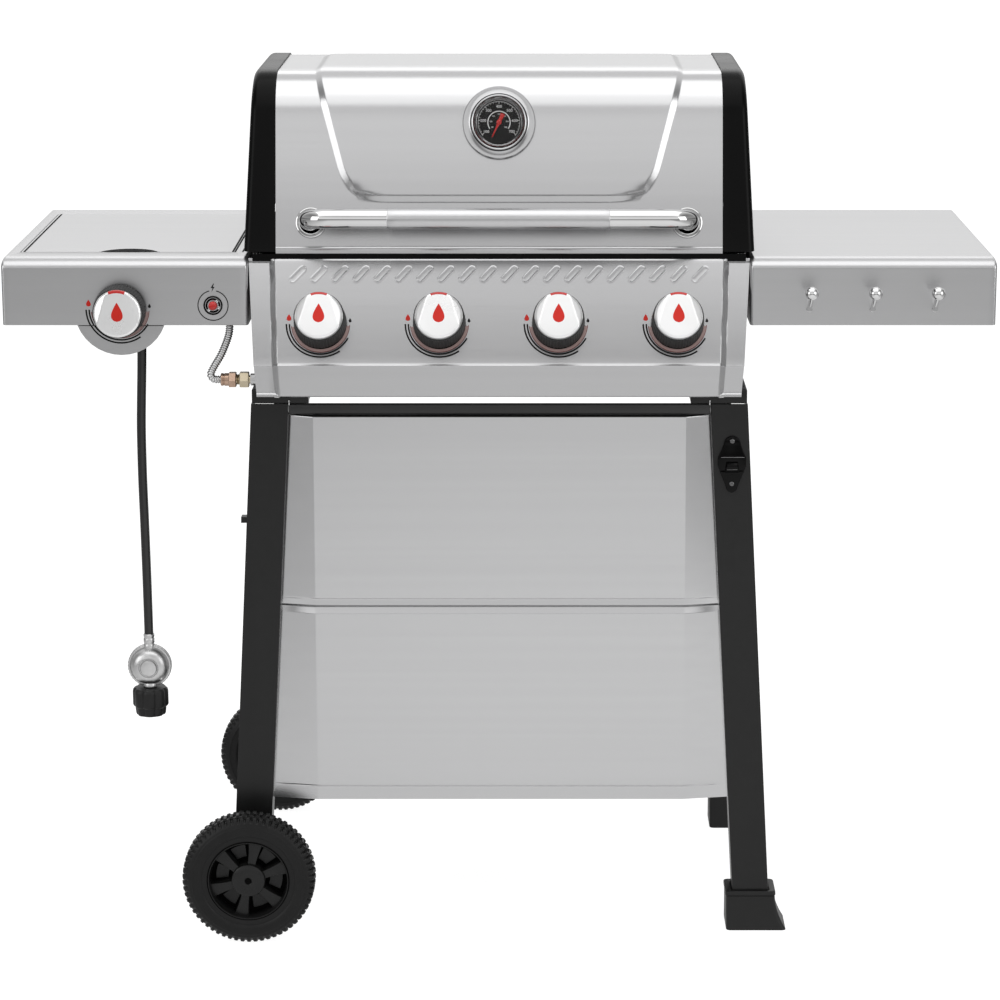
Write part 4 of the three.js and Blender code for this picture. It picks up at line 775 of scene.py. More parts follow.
LID_RUN, LID_Y, LID_Z, LID_OUT_Y, LID_OUT_Z = lid_table()
LID_SIDE = 287.7
LEAN = FRONT_ARC[3]
LID_OUT = np.array([0, -math.cos(LEAN), math.sin(LEAN)])


def on_lid(x, run, rise):
    """The point at x and at a run along the outline, moved outwards by rise."""
    y, z = np.interp(run, LID_RUN, LID_Y), np.interp(run, LID_RUN, LID_Z)
    out_y, out_z = np.interp(run, LID_RUN, LID_OUT_Y), np.interp(run, LID_RUN, LID_OUT_Z)
    size = np.hypot(out_y, out_z)
    return np.stack(np.broadcast_arrays(x, y + rise * out_y / size, z + rise * out_z / size), -1)


def lid_face_y(z):
    return np.interp(z, LID_Z[:140], LID_Y[:140])


def spaced(*stops):
    """Even steps between stops: (start, gap, next, gap, ...), each stop kept."""
    runs = [np.linspace(a, b, max(1, int(round((b - a) / gap))), endpoint=False)
            for a, gap, b in zip(stops[:-2:2], stops[1:-1:2], stops[2::2])]
    return np.concatenate(runs + [[stops[-1]]])


def ease(t):
    t = np.clip(t, 0, 1)
    return t * t * (3 - 2 * t)


def soft_least(a, b, radius):
    """The lesser of two distances, rounded where they are close."""
    h = np.clip(0.5 + 0.5 * (b - a) / radius, 0, 1)
    return b * (1 - h) + a * h - radius * h * (1 - h)


def ramp(t, soft=0.22):
    """A straight climb from 0 to 1 whose two ends are rounded over the share soft."""
    t = np.clip(t, 0, 1)
    slope = 1 / (1 - soft)
    low, high = t < soft, t > 1 - soft
    middle = slope * (t - soft / 2)
    return np.where(low, slope * t**2 / (2 * soft), np.where(high, 1 - slope * (1 - t) ** 2 / (2 * soft),
                                                             middle))


def field_half(run):
    """Half width of the lid's pressed field: it tapers down the face."""
    z = np.interp(run, LID_RUN, LID_Z)
    height = np.where(run < 340, z, 1144)
    return 238.5 - 0.27 * np.clip(1142 - height, 0, 200)


def lid_field(x, run):
    """Rise of the pressed field: 4.5 mm inside its tapered outline, with a straight bevel."""
    side = (field_half(run) - np.abs(x)) * 0.965
    low = run - (985 - LID_LOW) / math.cos(LEAN)
    back = 452 - run
    inside = soft_least(soft_least(side, low, 44), back, 12)
    return 4.5 * ramp((inside + 2.0) / 11.0)


def make_lid_skin():
    """The columns follow the field's edge, so its bevel runs along them."""
    run = spaced(0, 0.8, 11, 6, 58, 1.3, 82, 5, 178, 3, 262, 9, 436, 2.5, 458, 6, 625, 14, LID_RUN[-1])
    edge = field_half(run)[:, None]
    middle = spaced(0, 0.07, 1.0)[None, :-1] * (edge - 14)
    bevel = edge + spaced(-14, 0.9, 5)[None, :]
    outer_side = (edge + 5) + spaced(0, 0.14, 1.0)[None, 1:] * (LID_SIDE - edge - 5)
    half = np.concatenate([middle, bevel, outer_side], 1)
    across = np.concatenate([-half[:, :0:-1], half], 1)
    along = run[:, None] * np.ones_like(across)
    rise = lid_field(across, along)
    hem = -0.3 * np.clip(5.2 - along, 0, None) + 0.95 * np.exp(-(((along - 6.8) / 1.4) ** 2))
    outer = on_lid(across, along, rise + hem)
    inner = on_lid(across, along, rise + hem * 0.9 - 2)
    solid("lid_skin", walls(outer, inner), LID_STEEL, "lid", ("lid_shell",), 42)


def make_lid_cap(side):
    """A cast end: stations of the lid's outline rounded over to an end wall that leans in with height."""
    run = spaced(0, 16, 175, 3.2, 262, 18, 470, 4, 622, 22, LID_RUN[-1])
    low = 921.0

    def station(x, offset, drafted=1.0):
        points = on_lid(x, run, offset)
        points[:, 2] = np.maximum(points[:, 2], low)
        points[:, 0] -= drafted * 0.05 * (points[:, 2] - low)
        return points

    def shell(x_end, proud, radius):
        turn = np.linspace(0, np.pi / 2, 8)
        rows = [station(288.2, proud, 0), station(302, proud, 0.4)]
        rows += [station(x_end - radius + radius * math.sin(t),
                         proud - radius * (1 - math.cos(t))) for t in turn]
        edge = rows[-1]
        for share in (0.35, 1.0):
            row = edge.copy()
            row[:, 2] = edge[:, 2] + (low - edge[:, 2]) * share
            row[:, 0] = x_end - 0.05 * (row[:, 2] - low)
            rows.append(row)
        return np.array(rows) * (side, 1, 1)

    parts = walls(shell(329, 2.5, 9.5), shell(325.8, -0.7, 6.5))
    y, z = 232.0, 930.0
    ear = Seat((side * 304.5, y, z), (side, 0, 0), (0, 0, 1))
    parts.append(turned(ear, [(4.3, -3.5), (6.4, -3.5), (7, -2.9), (7, 2.9), (6.4, 3.5), (4.3, 3.5),
                              (4.3, -3.5)], 40))
    parts.append(block((side * 301, 205, 924.5), (side * 308, 228, 936.8), 1.2))
    parts.append(block((side * 289, -223.2, 921.2), (side * 326.5, -216.8, 924.2), 1.3))
    name = "left" if side < 0 else "right"
    solid(f"lid_end_{name}", parts, CAST_BLACK, "lid", (f"lid_cap_{name}",), 50)


def make_lid_handle():
    """A bent tube on two flanges, with a brushed sleeve over its middle."""
    foot_z, half, reach, bend = 957.0, 242.0, 71.0, 26.0

    def foot(side, out):
        return np.array([side * half, float(lid_face_y(foot_z)), foot_z]) + LID_OUT * out

    path = []
    for side in (-1, 1):
        turn = np.linspace(0, np.pi / 2, 14)
        arc = [foot(side, reach - bend + bend * math.sin(t)) - (side * bend * (1 - math.cos(t)), 0,
                                                                0) for t in turn]
        leg = [foot(side, out) for out in np.linspace(1.5, reach - bend - 3, 8)] + arc
        path += leg if side < 0 else leg[::-1]
    path = np.array(path)
    middle = len(path) // 2
    straight = np.linspace(path[middle - 1], path[middle], 24)[1:-1]
    path = np.concatenate([path[:middle], straight, path[middle:]])
    parts = [carried(path, 12.4, 48)]
    flange = [
        (12.2, 1.0), (13.8, 6.6), (14.6, 8.0), (15.6, 8.0), (16.6, 6.0), (17.4, 5.2), (18.2, 5.6), (19.2,
                                                                                                    5.2),
        (20, 3.6), (20, 0.4), (12.2, 0.4), (12.2, 1.0),
    ]
    for side in (-1, 1):
        parts.append(turned(Seat(foot(side, 0), LID_OUT), flange, 72))
    solid("handle_tube", parts, CHROME, "lid", ("lid_handle",), 40)
    ends = [foot(side, reach) * (0, 1, 1) + (side * 141.0, 0, 0) for side in (-1, 1)]
    seat = Seat(ends[0], (1, 0, 0))
    sleeve = [(12.2, 0), (12.9, 0.1), (13.2, 0.6)] + [(13.2, h) for h in np.linspace(12, 270, 12)]
    sleeve += [(13.2, 281.4), (12.9, 281.9), (12.2, 282), (12.2, 0)]
    solid("handle_sleeve", [turned(seat, sleeve, 64)], GRIP_STEEL, "lid", (), 40)


def words(pieces, seat, size, lift):
    """Points and faces of short figures, each centred on its own place in the seat's plane."""
    points, faces, start = [], [], 0
    for text, centre in pieces:
        font = bpy.data.curves.new("figure", "FONT")
        font.body = text
        font.size = size
        font.align_x, font.align_y = "CENTER", "CENTER"
        font.extrude = 0.05
        font.resolution_u = 3
        holder = bpy.data.objects.new("figure", font)
        scene.collection.objects.link(holder)
        bpy.context.view_layer.update()
        mesh = holder.evaluated_get(bpy.context.evaluated_depsgraph_get()).to_mesh()
        flat = np.zeros(len(mesh.vertices) * 3)
        mesh.vertices.foreach_get("co", flat)
        flat = flat.reshape(-1, 3) + (*centre, lift + 0.05)
        faces += [[v + start for v in face.vertices] for face in mesh.polygons]
        points.append(seat.to(flat))
        start += len(flat)
        bpy.data.objects.remove(holder)
        bpy.data.curves.remove(font)
    return np.concatenate(points), faces


DIAL_PRINT = 3.15  # height of the dial's print over the bezel's seat


def make_thermometer():
    """A stepped bezel, a deep black dial with ticks and figures, and a red needle under a clear cover."""
    face = np.array([0, float(lid_face_y(1083.0)), 1083.0])
    seat = Seat(face + LID_OUT * 4.8, LID_OUT)
    bezel = [
        (0, 0), (46.2, 0), (46.6, 0.6), (46.6, 1.6), (45.8, 2.5), (44.6, 2.7), (43.4, 2.5), (38.6, 3.9),
        (37.4, 4.4), (36.8, 4.2), (36.4, 3.2), (35.9, 3.2), (35.7, 7.6), (35.2, 8.6), (34.3, 8.9), (33.6,
                                                                                                    8.6),
        (33.2, 7.8), (30.6, 4.6), (28.6, 3.3), (28.2, 2.6), (0, 2.6),
    ]
    solid("thermometer_bezel", [turned(seat, bezel, 128)], DISH_STEEL, "lid", ("thermometer",), 28)
    # painted reflection: the bezel's inner cone is overlaid in darker metal for the dark surroundings it
    # mirrors
    wall = [(33.0, 7.0), (33.1, 7.95), (30.5, 4.9), (28.5, 3.6), (28.3, 3.0), (33.0, 7.0)]
    solid("thermometer_wall_reflection", [turned(seat, wall, 128)], PAINTED_REFLECTION_STEEL, "lid", (), 28)
    dial = [(0, 2.7), (28.5, 2.7), (28.5, 3.1), (0, 3.1)]
    solid("thermometer_dial", [turned(seat, dial, 96)], DIAL_BLACK, "lid", (), 30)
    # painted shade: a black ring sits in the bezel's groove
    groove = [(36.9, 3.3), (35.6, 3.3), (35.6, 4.0), (36.9, 4.0), (36.9, 3.3)]
    solid("thermometer_groove_shade", [turned(seat, groove, 96)], BLACK_AND_PAINTED_SHADE, "lid", (), 30)

    # the scale runs from 100 at the lower left over 400 at the top to 700 at the lower right
    def bearing(value):
        return math.radians(90 - (value - 400) * 0.42)

    outlines = []
    for value in range(100, 701, 20):
        a = bearing(value)
        long = value % 100 == 0
        low, high, wide = (23.9, 26.4, 0.34) if long else (25.0, 26.4, 0.2)
        along, across = polar(1.0, a), polar(1.0, a + math.pi / 2)
        outlines.append([along * low - across * wide, along * high - across * wide,
                         along * high + across * wide, along * low + across * wide])
    outlines.append(arc_outline(26.6, 27.0, -40, 220, 70))
    outlines.append(arc_outline(13.7, 14.9, -34, 214, 60))
    printed("thermometer_marks", seat, outlines, WHITE_PRINT, "lid", lift=DIAL_PRINT)
    figures = [(str(v), polar(20.3, bearing(v))) for v in range(100, 701, 100)]
    small = [(str(v), polar(10.6, bearing(v * 2))) for v in range(50, 351, 50)]
    parts = [words(figures, seat, 5.2, DIAL_PRINT), words(small, seat, 2.6, DIAL_PRINT)]
    solid("thermometer_figures", parts, WHITE_PRINT, "lid", (), 30)

    turn = math.radians(-25)
    spin = np.array([[math.cos(turn), math.sin(turn)], [-math.sin(turn), math.cos(turn)]])
    pointer = np.array([(-0.5, -21), (0.5, -21), (1.0, -9), (1.7, -3), (2.6, 8), (2.9, 12.5), (1.1, 11.2),
                        (0, 13.2),
                        (-1.1, 11.2), (-2.9, 12.5), (-2.6, 8), (-1.7, -3), (-1.0, -9)]) @ spin
    printed("needle_blade", seat, [pointer], RED_PLASTIC, "needle", lift=4.3, thick=0.6)
    boss = [(0, 3.3), (3.4, 3.3), (3.4, 5.2), (2.6, 5.9), (0, 6.2)]
    needle = solid("needle_boss", [turned(seat, boss, 32)], RED_PLASTIC, "needle", (), 35)
    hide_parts("thermometer_needle")
    lens = [(0, 8.0), (22, 7.7), (32.9, 6.9), (33.3, 7.2), (22, 8.1), (0, 8.4)]
    solid("thermometer_lens", [turned(seat, lens, 72)], LENS, "lid", (), 60)


make_lid_skin()
make_lid_cap(-1)
make_lid_cap(1)
make_lid_handle()
make_thermometer()

# ------------------------------------------------------------------ control panel
FACE_LOW, FACE_CREASE, FACE_TOP = (-284.0, 741.5), (-288.6, 783.0), (-227.5, 908.0)
FACE_LEAN = math.atan2(FACE_TOP[0] - FACE_CREASE[0], FACE_TOP[1] - FACE_CREASE[1])
PANEL_BACK = -208.5
FACE_HEM = 912.3  # where the face turns back under the lid
BURNER_PITCH = 152.4
BURNER_X = (np.arange(4) - 1.5) * BURNER_PITCH
KNOB_Z = 833.5
FACE_OUT = (0, -math.cos(FACE_LEAN), math.sin(FACE_LEAN))


def panel_half(z):
    return 311 + 12 * (np.clip(z, FACE_LOW[1], FACE_TOP[1]) - FACE_LOW[1]) / (FACE_TOP[1] - FACE_LOW[1])


def face_y(z):
    return FACE_TOP[0] - (FACE_TOP[1] - z) * math.tan(FACE_LEAN)


def stadium(long, wide, lean, inset):
    """Outline of a slot with round ends, drawn in by inset and turned by lean from the horizontal."""
    radius = wide / 2 - inset
    turn = np.linspace(-np.pi / 2, np.pi / 2, 12)
    right = polar(radius, turn) + ((long - wide) / 2, 0)
    flat = np.concatenate([right, -right])
    return flat @ np.array([[math.cos(lean), math.sin(lean)], [-math.sin(lean), math.cos(lean)]])


SLOTS, SLOT_PITCH, SLOT_Z, SLOT_LEAN = 20, 27.24, 893.0, math.radians(47)


def make_panel_slots():
    """A row of slanting slots embossed along the top of the face: a rounded rim round a lower middle."""
    section = [(-0.5, -0.4), (-0.5, 0.0), (0.1, 0.1), (0.7, 0.4), (1.2, 0.52), (1.7, 0.47), (2.3, 0.26),
               (3.2, 0.17),
               (4.8, 0.14)]
    rings = []
    for k in range(SLOTS):
        seat = Seat((k * SLOT_PITCH - 259, face_y(SLOT_Z), SLOT_Z), FACE_OUT)
        rows = []
        for inset, height in section:
            rows.append(at_height(stadium(28.5, 10.4, SLOT_LEAN, inset), height))
        first, last = (pole((0, 0, height), len(rows[0])) for height in (section[0][1], section[-1][1]))
        rings.append(grid(seat.to(np.array([first, *rows, last])), wrap_columns=True))
    solid("panel_slots", rings, PANEL_STEEL, "cart", (), 50)


def make_control_panel():
    """The folded front: a profile with soft folds, carried across and pressed in at its ends."""
    top_y = face_y(FACE_HEM)
    profile = rounded([(PANEL_BACK, 0, FACE_LOW[1]), (FACE_LOW[0], 0, FACE_LOW[1]),
                       (FACE_CREASE[0], 0, FACE_CREASE[1]),
                       (top_y, 0, FACE_HEM), (top_y + 9, 0, FACE_HEM), (PANEL_BACK, 0, FACE_TOP[1] - 6)],
                      [0, 4, 7, 5, 3, 0], 3.0, 9)
    line = [profile[0]]
    for a, b in zip(profile[:-1], profile[1:]):
        parts = max(1, int(math.ceil(np.linalg.norm(b - a) / 5.0)))
        line += [a + (b - a) * k / parts for k in range(1, parts + 1)]
    line = np.array(line)
    keep = np.concatenate([[True], np.linalg.norm(np.diff(line, axis=0), axis=1) > 0.05])
    line = line[keep]
    thinned = [line[0]]
    for point in line[1:]:
        flat = point[2] < 895 and FACE_CREASE[1] + 6 < point[2]
        if np.linalg.norm(point - thinned[-1]) > (9 if flat else 0.3):
            thinned.append(point)
    thinned[-1] = line[-1]
    line = np.array(thinned)
    run = unit(np.gradient(line, axis=0))
    out = np.stack([-run[:, 2], np.zeros(len(run)), run[:, 0]], -1)
    share = spaced(0, 0.0042, 0.862, 0.009, 0.88, 0.0035, 0.925, 0.012, 1.0)
    share = np.concatenate([-share[:0:-1], share])
    half = panel_half(line[:, 2])
    x = share[None, :] * half[:, None]
    edge = 279.6 + (line[:, 2, None] - FACE_LOW[1]) * 0.0463
    facing = np.clip(-out[:, 0, None] * 1.15, 0, 1) ** 2
    drop = 6.6 * ramp((np.abs(x) - edge - 0.5) / 9.4, 0.14) * facing
    bead = 0.55 * np.exp(-(((line[:, 2, None] - FACE_CREASE[1] - 0.6) / 1.0) ** 2)) * facing
    rise = bead - drop
    base = np.stack(np.broadcast_arrays(x, line[:, 0, None], line[:, 2, None]), -1)
    direction = np.stack(np.broadcast_arrays(0.0, out[:, 0, None], out[:, 2, None]), -1) * np.ones_like(base)
    outer = base + direction * rise[..., None]
    inner = base + direction * (rise[..., None] - 1.8)
    inner[0, :, 1], inner[-1, :, 1] = outer[0, :, 1], outer[-1, :, 1]
    parts = walls(outer, inner)
    for side in (-1, 1):
        z = spaced(742.5, 4, 783, 5, 907)
        depth = np.linspace(0, 1, 3)
        front_y = np.where(z > 783, face_y(z), FACE_LOW[0] + (z - FACE_LOW[1]) * (-4.6 / 41.5)) + 9.6
        y = front_y[:, None] + (PANEL_BACK - front_y[:, None]) * depth
        reach = side * (panel_half(z)[:, None] - 0.1) * np.ones_like(y)
        plate = np.stack([reach, y, z[:, None] * np.ones_like(y)], -1)
        parts += walls(plate, plate - (side * 1.8, 0, 0))
    solid("panel_fascia", parts, PANEL_STEEL, "cart", ("control_panel",), 24)


def knob_prints(name, seat, split=None, lower=None):
    """Two black arcs, two red ones and two small flames round a knob; below split they lie on lower."""
    for title, inner, outer, low, high, finish in (
        ("outer", 42.7, 44.8, 180, 305, BLACK_PRINT), ("middle", 38.8, 40.9, 180, 332, BLACK_PRINT),
        ("inner", 36.9, 37.7, 184, 358, WINE_PRINT), ("shade", 33.4, 36.8, 186, 356, ROSE_PRINT),
    ):
        angle = np.linspace(low, high, 121)
        height = (inner + outer) / 2 * np.sin(np.radians(angle))
        above = np.ones(121, bool) if split is None else height > split
        for keep, ground, tag in ((above, seat, "a"), (~above, lower, "b")):
            cuts = np.flatnonzero(np.diff(keep.astype(int)))
            runs = [r for r in np.split(np.arange(121), cuts + 1) if keep[r[0]] and len(r) > 2]
            if runs:
                outlines = [arc_outline(inner, outer, angle[r[0]], angle[r[-1]], len(r)) for r in runs]
                printed(f"{name}_{title}_{tag}", ground, outlines, finish, "cart")
    printed(f"{name}_flame_high", seat, [flame_outline(9, 6.4, (-40.6, 8.0))], RED_PRINT, "cart")
    printed(f"{name}_flame_low", seat, [flame_outline(5.6, 4.0, (37.8, 4.6))], BLACK_PRINT, "cart")


def make_knob(label, seat, flat=1.0):
    """A ribbed skirt under a satin cap whose top is a flat trapezoid between two sloping sides."""
    body = f"knob_{label}"
    seat = Seat(seat.origin, seat.z)
    seat.z = seat.z * flat
    skirt = [(4.4, 5.4), (32.4, 5.4), (33.6, 5.9), (34, 7)] + [(34 - 0.06 * h, 7 + h) for h in (1, 8, 16, 23,
                                                                                                27)]
    skirt += [(32.0, 35.0), (31.2, 35.8), (29.6, 36.2), (4.4, 36.2), (4.4, 5.4)]

    def ribs(angle, row):
        return 1 + np.where((row >= 3) & (row <= 8), 0.013 * (np.cos(54 * angle) - 1), 0)

    solid(f"{body}_skirt", [turned(seat, skirt, 432, ribs)], SKIRT_PLASTIC, body, (body,), 40)
    radius = np.concatenate([[0], np.linspace(1.5, 28, 26), [28.9, 29.6, 30.1, 30.4]])[:, None]
    angle = full_turn(180)
    beyond = np.abs(radius * np.cos(angle)) - (22.4 - 0.303 * (radius * np.sin(angle)))
    height = 42.75 - 0.42 * np.clip(beyond + 0.3, 0, None) ** 1.02
    height -= np.where(radius > 28, (radius - 28) ** 2 * 0.28, 0)
    side = [polar(r, angle, h) for r, h in ((30.6, 38.2), (30.7, 37.0), (30.7, 35.9), (4.4, 35.9))]
    cap = grid(seat.to(np.concatenate([polar(radius, angle, height), np.array(side)])), wrap_columns=True)
    low = grid(seat.to(np.array([side[-1], pole((0, 0, 35.9), 180)])), wrap_columns=True)
    solid(f"{body}_cap", [cap, low], CAP_SILVER, body, (), 18)
    angle = np.radians(np.linspace(69, 111, 22))
    section = [(27.2, 41.9), (27.2, 42.9), (30.0, 42.5), (30.7, 41.5), (30.9, 40.2), (29.9, 40.2)]
    rows = np.array([polar(r, angle, h) for r, h in section])
    mark = [grid(seat.to(rows), wrap_rows=True)]
    for end in (rows[:, 0], rows[:, -1]):
        mark.append(grid(seat.to(np.stack([end, pole(end.mean(0), len(section))])), wrap_columns=True))
    solid(f"{body}_mark", mark, RED_PLASTIC, body, (), 35)
    printed(f"{body}_flame", seat, [flame_outline(25.0, 15.6, (0, 0.6))], RED_PRINT, body, lift=42.6,
            thick=0.28)
    collar = [(4.6, 0.1), (11.5, 0.1), (11.5, 0.5), (9.5, 0.9), (4.6, 0.9), (4.6, 0.1)]
    solid(f"{body}_collar", [turned(seat, collar, 48)], ZINC, "cart", (), 35)


make_control_panel()
make_panel_slots()
for number, x in enumerate(BURNER_X, 1):
    spot = Seat((x, face_y(KNOB_Z), KNOB_Z), FACE_OUT)
    make_knob(number, spot)
    knob_prints(f"panel_print_{number}", spot)

# ------------------------------------------------------------------ side shelves
SHELF_FRONT, SHELF_BACK, SHELF_TOP, APRON_LOW = -240.0, 205.0, 914.5, 827.5
SHELF_ROOT, SHELF_END = 323.3, 640.0


def rectangle(x0, x1, y0, y1, radius, z):
    """A rectangle's outline with round corners: four arcs, and five points along each straight side."""
    points = []
    corners = [(x1 - radius, y1 - radius), (x0 + radius, y1 - radius), (x0 + radius, y0 + radius),
               (x1 - radius, y0 + radius)]
    for k, centre in enumerate(corners):
        a = np.radians(np.linspace(k * 90, k * 90 + 90, 7))
        arc = polar(radius, a) + centre
        after = corners[(k + 1) % 4]
        first = polar(radius, a[-1]) + after
        along = arc[-1] + (first - arc[-1]) * np.array([0.02, 0.25, 0.5, 0.75, 0.98])[:, None]
        points += [arc, along]
    return at_height(np.concatenate(points), z)


def shelf_rows(x0, x1, well=None):
    """Rings of a pan with aprons from the middle of its top, over the rounded edge, to its underside."""
    def pan(inset, radius, z, front=None, back=None):
        front, back = (inset if d is None else d for d in (front, back))
        return rectangle(x0 + inset, x1 - inset, SHELF_FRONT + front, SHELF_BACK - back, radius, z)

    def sunk(inset, radius, z):
        return rectangle(w0 + inset, w1 - inset, v0 + inset, v1 - inset, radius, z)

    if well:
        w0, w1, v0, v1, floor = well
        rings = [sunk(60, 3, floor), sunk(5, 3, floor)]
        for t in np.linspace(0, np.pi / 2, 5):
            rings.append(sunk(3 * (1 - math.sin(t)), 3, floor + 3 * (1 - math.cos(t))))
        for t in np.linspace(0, np.pi / 2, 5):
            d = 1.6 * (1 - math.cos(t))
            rings.append(sunk(-d, 3 + d, SHELF_TOP - 1.6 + 1.6 * math.sin(t)))
    else:
        rings = [pan(150, 3, SHELF_TOP)]
    rings.append(pan(8, 3, SHELF_TOP, 26))
    for t in np.linspace(0, np.pi / 2, 13):
        d, fall = 1 - math.sin(t), 12.5 * (1 - math.cos(t))
        rings.append(pan(4.5 * d, 3.0 + 1.2 * math.sin(t), SHELF_TOP - fall, 24.0 * d, 5.0 * d))
    rings += [pan(0, 4.2, SHELF_TOP - 14), pan(0, 4.2, APRON_LOW + 4), pan(0, 4.2, APRON_LOW + 0.7),
              pan(0.7, 3.6, APRON_LOW), pan(1.4, 3, APRON_LOW + 0.7), pan(1.9, 2.6, APRON_LOW + 6),
              pan(1.9, 2.6, SHELF_TOP - 11)]
    if well:
        rings += [sunk(-2, 3, SHELF_TOP - 2.4), sunk(-2, 3, floor + 1), sunk(0, 3, floor - 2)]
        middle = ((w0 + w1) / 2, (v0 + v1) / 2, floor - 2)
    else:
        rings.append(pan(14, 3, SHELF_TOP - 2))
        middle = ((x0 + x1) / 2, (SHELF_FRONT + SHELF_BACK) / 2, SHELF_TOP - 2)
    first, last = (pole((*middle[:2], z), len(rings[0])) for z in (rings[0][0, 2], middle[2]))
    return grid(np.array([first, *rings, last]), wrap_columns=True)


solid("shelf_right_pan", [shelf_rows(SHELF_ROOT, SHELF_END)], SHELF_STEEL, "cart", ("side_shelf_right",), 30)
WELL = (-623.0, -343.0, -187.0, 161.5, 868.0)  # its sides, front, back and floor
solid("shelf_left_pan", [shelf_rows(-SHELF_END, -SHELF_ROOT, WELL)], SHELF_STEEL, "cart",
      ("side_shelf_left",), 30)
softened("side_burner_cover", SHELF_STEEL, 0.7)


def make_cover_marks():
    """Painted shade: black strips for the gaps beside the cover and for a slot in the shelf, and a black
    segment of a circle for the cover's finger notch, with a steel rim.
    """
    flat = Seat((0, 0, SHELF_TOP), (0, 0, 1), (0, 1, 0))
    gaps = [[(x - 1.3, -184.5), (x + 1.3, -184.5), (x + 1.3, 157), (x - 1.3, 157)] for x in (-617.6, -346.4)]
    printed("cover_gap_shades", flat, gaps, BLACK_AND_PAINTED_SHADE, COVER_BODY)
    slot = [(-334.6, -186.6), (-332.6, -186.6), (-332.6, -110), (-334.6, -110)]
    printed("shelf_slot_shade", flat, [slot], BLACK_AND_PAINTED_SHADE, "cart")
    centre, radius = np.array([-481.0, -198.8]), 39.3
    angle = np.radians(np.linspace(19.9, 160.1, 41))
    notch = centre + polar(radius, angle)
    printed("cover_notch_shade", flat, [notch], BLACK_AND_PAINTED_SHADE, COVER_BODY)
    printed("notch_rim", flat, [centre + arc_outline(radius, radius + 3, 19.9, 160.1)], DISH_STEEL,
            COVER_BODY, thick=0.3)


COVER_BODY = frame["nodes"]["side_burner_cover"]["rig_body"]
make_cover_marks()


def make_hook(number, x):
    """A polished ball on a straight stem that flares into a small collar on the apron."""
    foot, ball = np.array([x, SHELF_FRONT, 848.6]), np.array([x, -275.0, 874.9])
    stem = Seat(foot, ball - foot)
    long = float(np.linalg.norm(ball - foot))
    turn = np.linspace(-np.pi / 2, np.pi / 2, 25)
    sphere = polar(8.8, turn)
    collar = [(0, -0.4), (4.0, -0.4), (4.0, 0.5), (3.6, 0.9), (0, 1.0)]
    shank = [(0, 0)] + [(3.3 + 0.3 * math.exp(-h / 2.5), h) for h in (0, 1, 2, 3, 4, 6, 8, 12, 20, long - 8,
                                                                      long - 4)]
    parts = [turned(stem, shank + [(0, long - 3)], 32), turned(Seat(ball, (0, 0, 1), (0, 1, 0)), sphere, 48),
             turned(Seat(foot, (0, -1, 0)), collar, 40)]
    solid(f"hook_{number}", parts, CHROME, "cart", (f"tool_hook_{number}",), 40)


for number, x in enumerate((399.6, 481.0, 561.0), 1):
    make_hook(number, x)

SIDE_SEAT = Seat((-488.0, SHELF_FRONT, 848.0), (0, -1, 0))
PLATE_SEAT = Seat((-488.0, SHELF_FRONT + 2.3, 848.0), (0, -1, 0))
make_knob("side", SIDE_SEAT, 0.8)
knob_prints("shelf_print", SIDE_SEAT, -20.9, PLATE_SEAT)
# painted shade: a black strip along the seam where the knob's plate meets the apron
printed("plate_seam_shade", PLATE_SEAT, [[(-54.5, -21.7), (54.5, -21.7), (54.5, -20.6), (-54.5, -20.6)]],
        BLACK_AND_PAINTED_SHADE, "cart")


def make_igniter():
    """A printed ring with a bolt above it, a black collar and a red push button with three prongs."""
    seat = Seat((-368.3, SHELF_FRONT, 853.5), (0, -1, 0))
    printed("igniter_ring", seat, [arc_outline(18.7, 20.0, 103, 437, 90)], BLACK_PRINT, "cart")
    bolt = np.array([(0.9, 4.9), (-2.3, -0.3), (-0.2, -0.3), (-1.4, -4.9), (2.3, 1.0), (0.3, 1.0),
                     (1.7, 4.9)]) * 1.15 + (0, 23.0)
    printed("igniter_bolt", seat, [bolt], BLACK_PRINT, "cart")
    collar = [(10.0, -12), (12.3, -12), (12.3, 1.6), (11.9, 2.2), (11.3, 2.2), (10.6, 1.4), (10.0, -1.5),
              (10.0, -12)]
    solid("igniter_collar", [turned(seat, collar, 64)], BLACK_AND_PAINTED_SHADE, "cart", (), 40)
    cup = [(0, -17), (9.5, -17), (9.5, 1.2), (9.1, 1.7), (8.4, 1.5), (6.6, -0.6), (0, -0.6)]
    solid("igniter_cup", [turned(seat, cup, 64)], BLACK_AND_PAINTED_SHADE, "igniter", ("igniter_button",), 40)
    button = [(0, -1), (5.5, -1), (5.5, 5.6), (4.9, 7.1), (3.6, 7.8), (0, 8.0)]
    prongs = [block((-1.9, 5.8, 0.8), (1.9, 9.3, 3.0), 0.6, seat.turned_to(a)) for a in (48, 228, 340)]
    solid("igniter_prongs", prongs, CHROME, "igniter", (), 40)
    solid("igniter_red", [turned(seat, button, 48)], RED_PLASTIC, "igniter", (), 40)


make_igniter()

# ------------------------------------------------------------------ flexible line and fitting
FLEX_ROUTE = [
    (-440.0, -202, 832), (-420.0, -202, 832), (-385.0, -202, 838), (-356.0, -203, 834), (-351.0, -207, 815),
    (-360.0, -213, 788), (-371.0, -218, 769), (-375.0, -221, 759.5), (-371.0, -222, 753.6), (-362.3, -222,
                                                                                             753),
]
path = smooth_path(FLEX_ROUTE, 620)
wave = 3.7 + 1.55 * np.sqrt(np.abs(np.cos(np.linspace(0, np.pi * 62, 620))))
solid("flex_hose", [carried(path, wave, 22)], CHROME, "cart", ("flex_line",), 60)


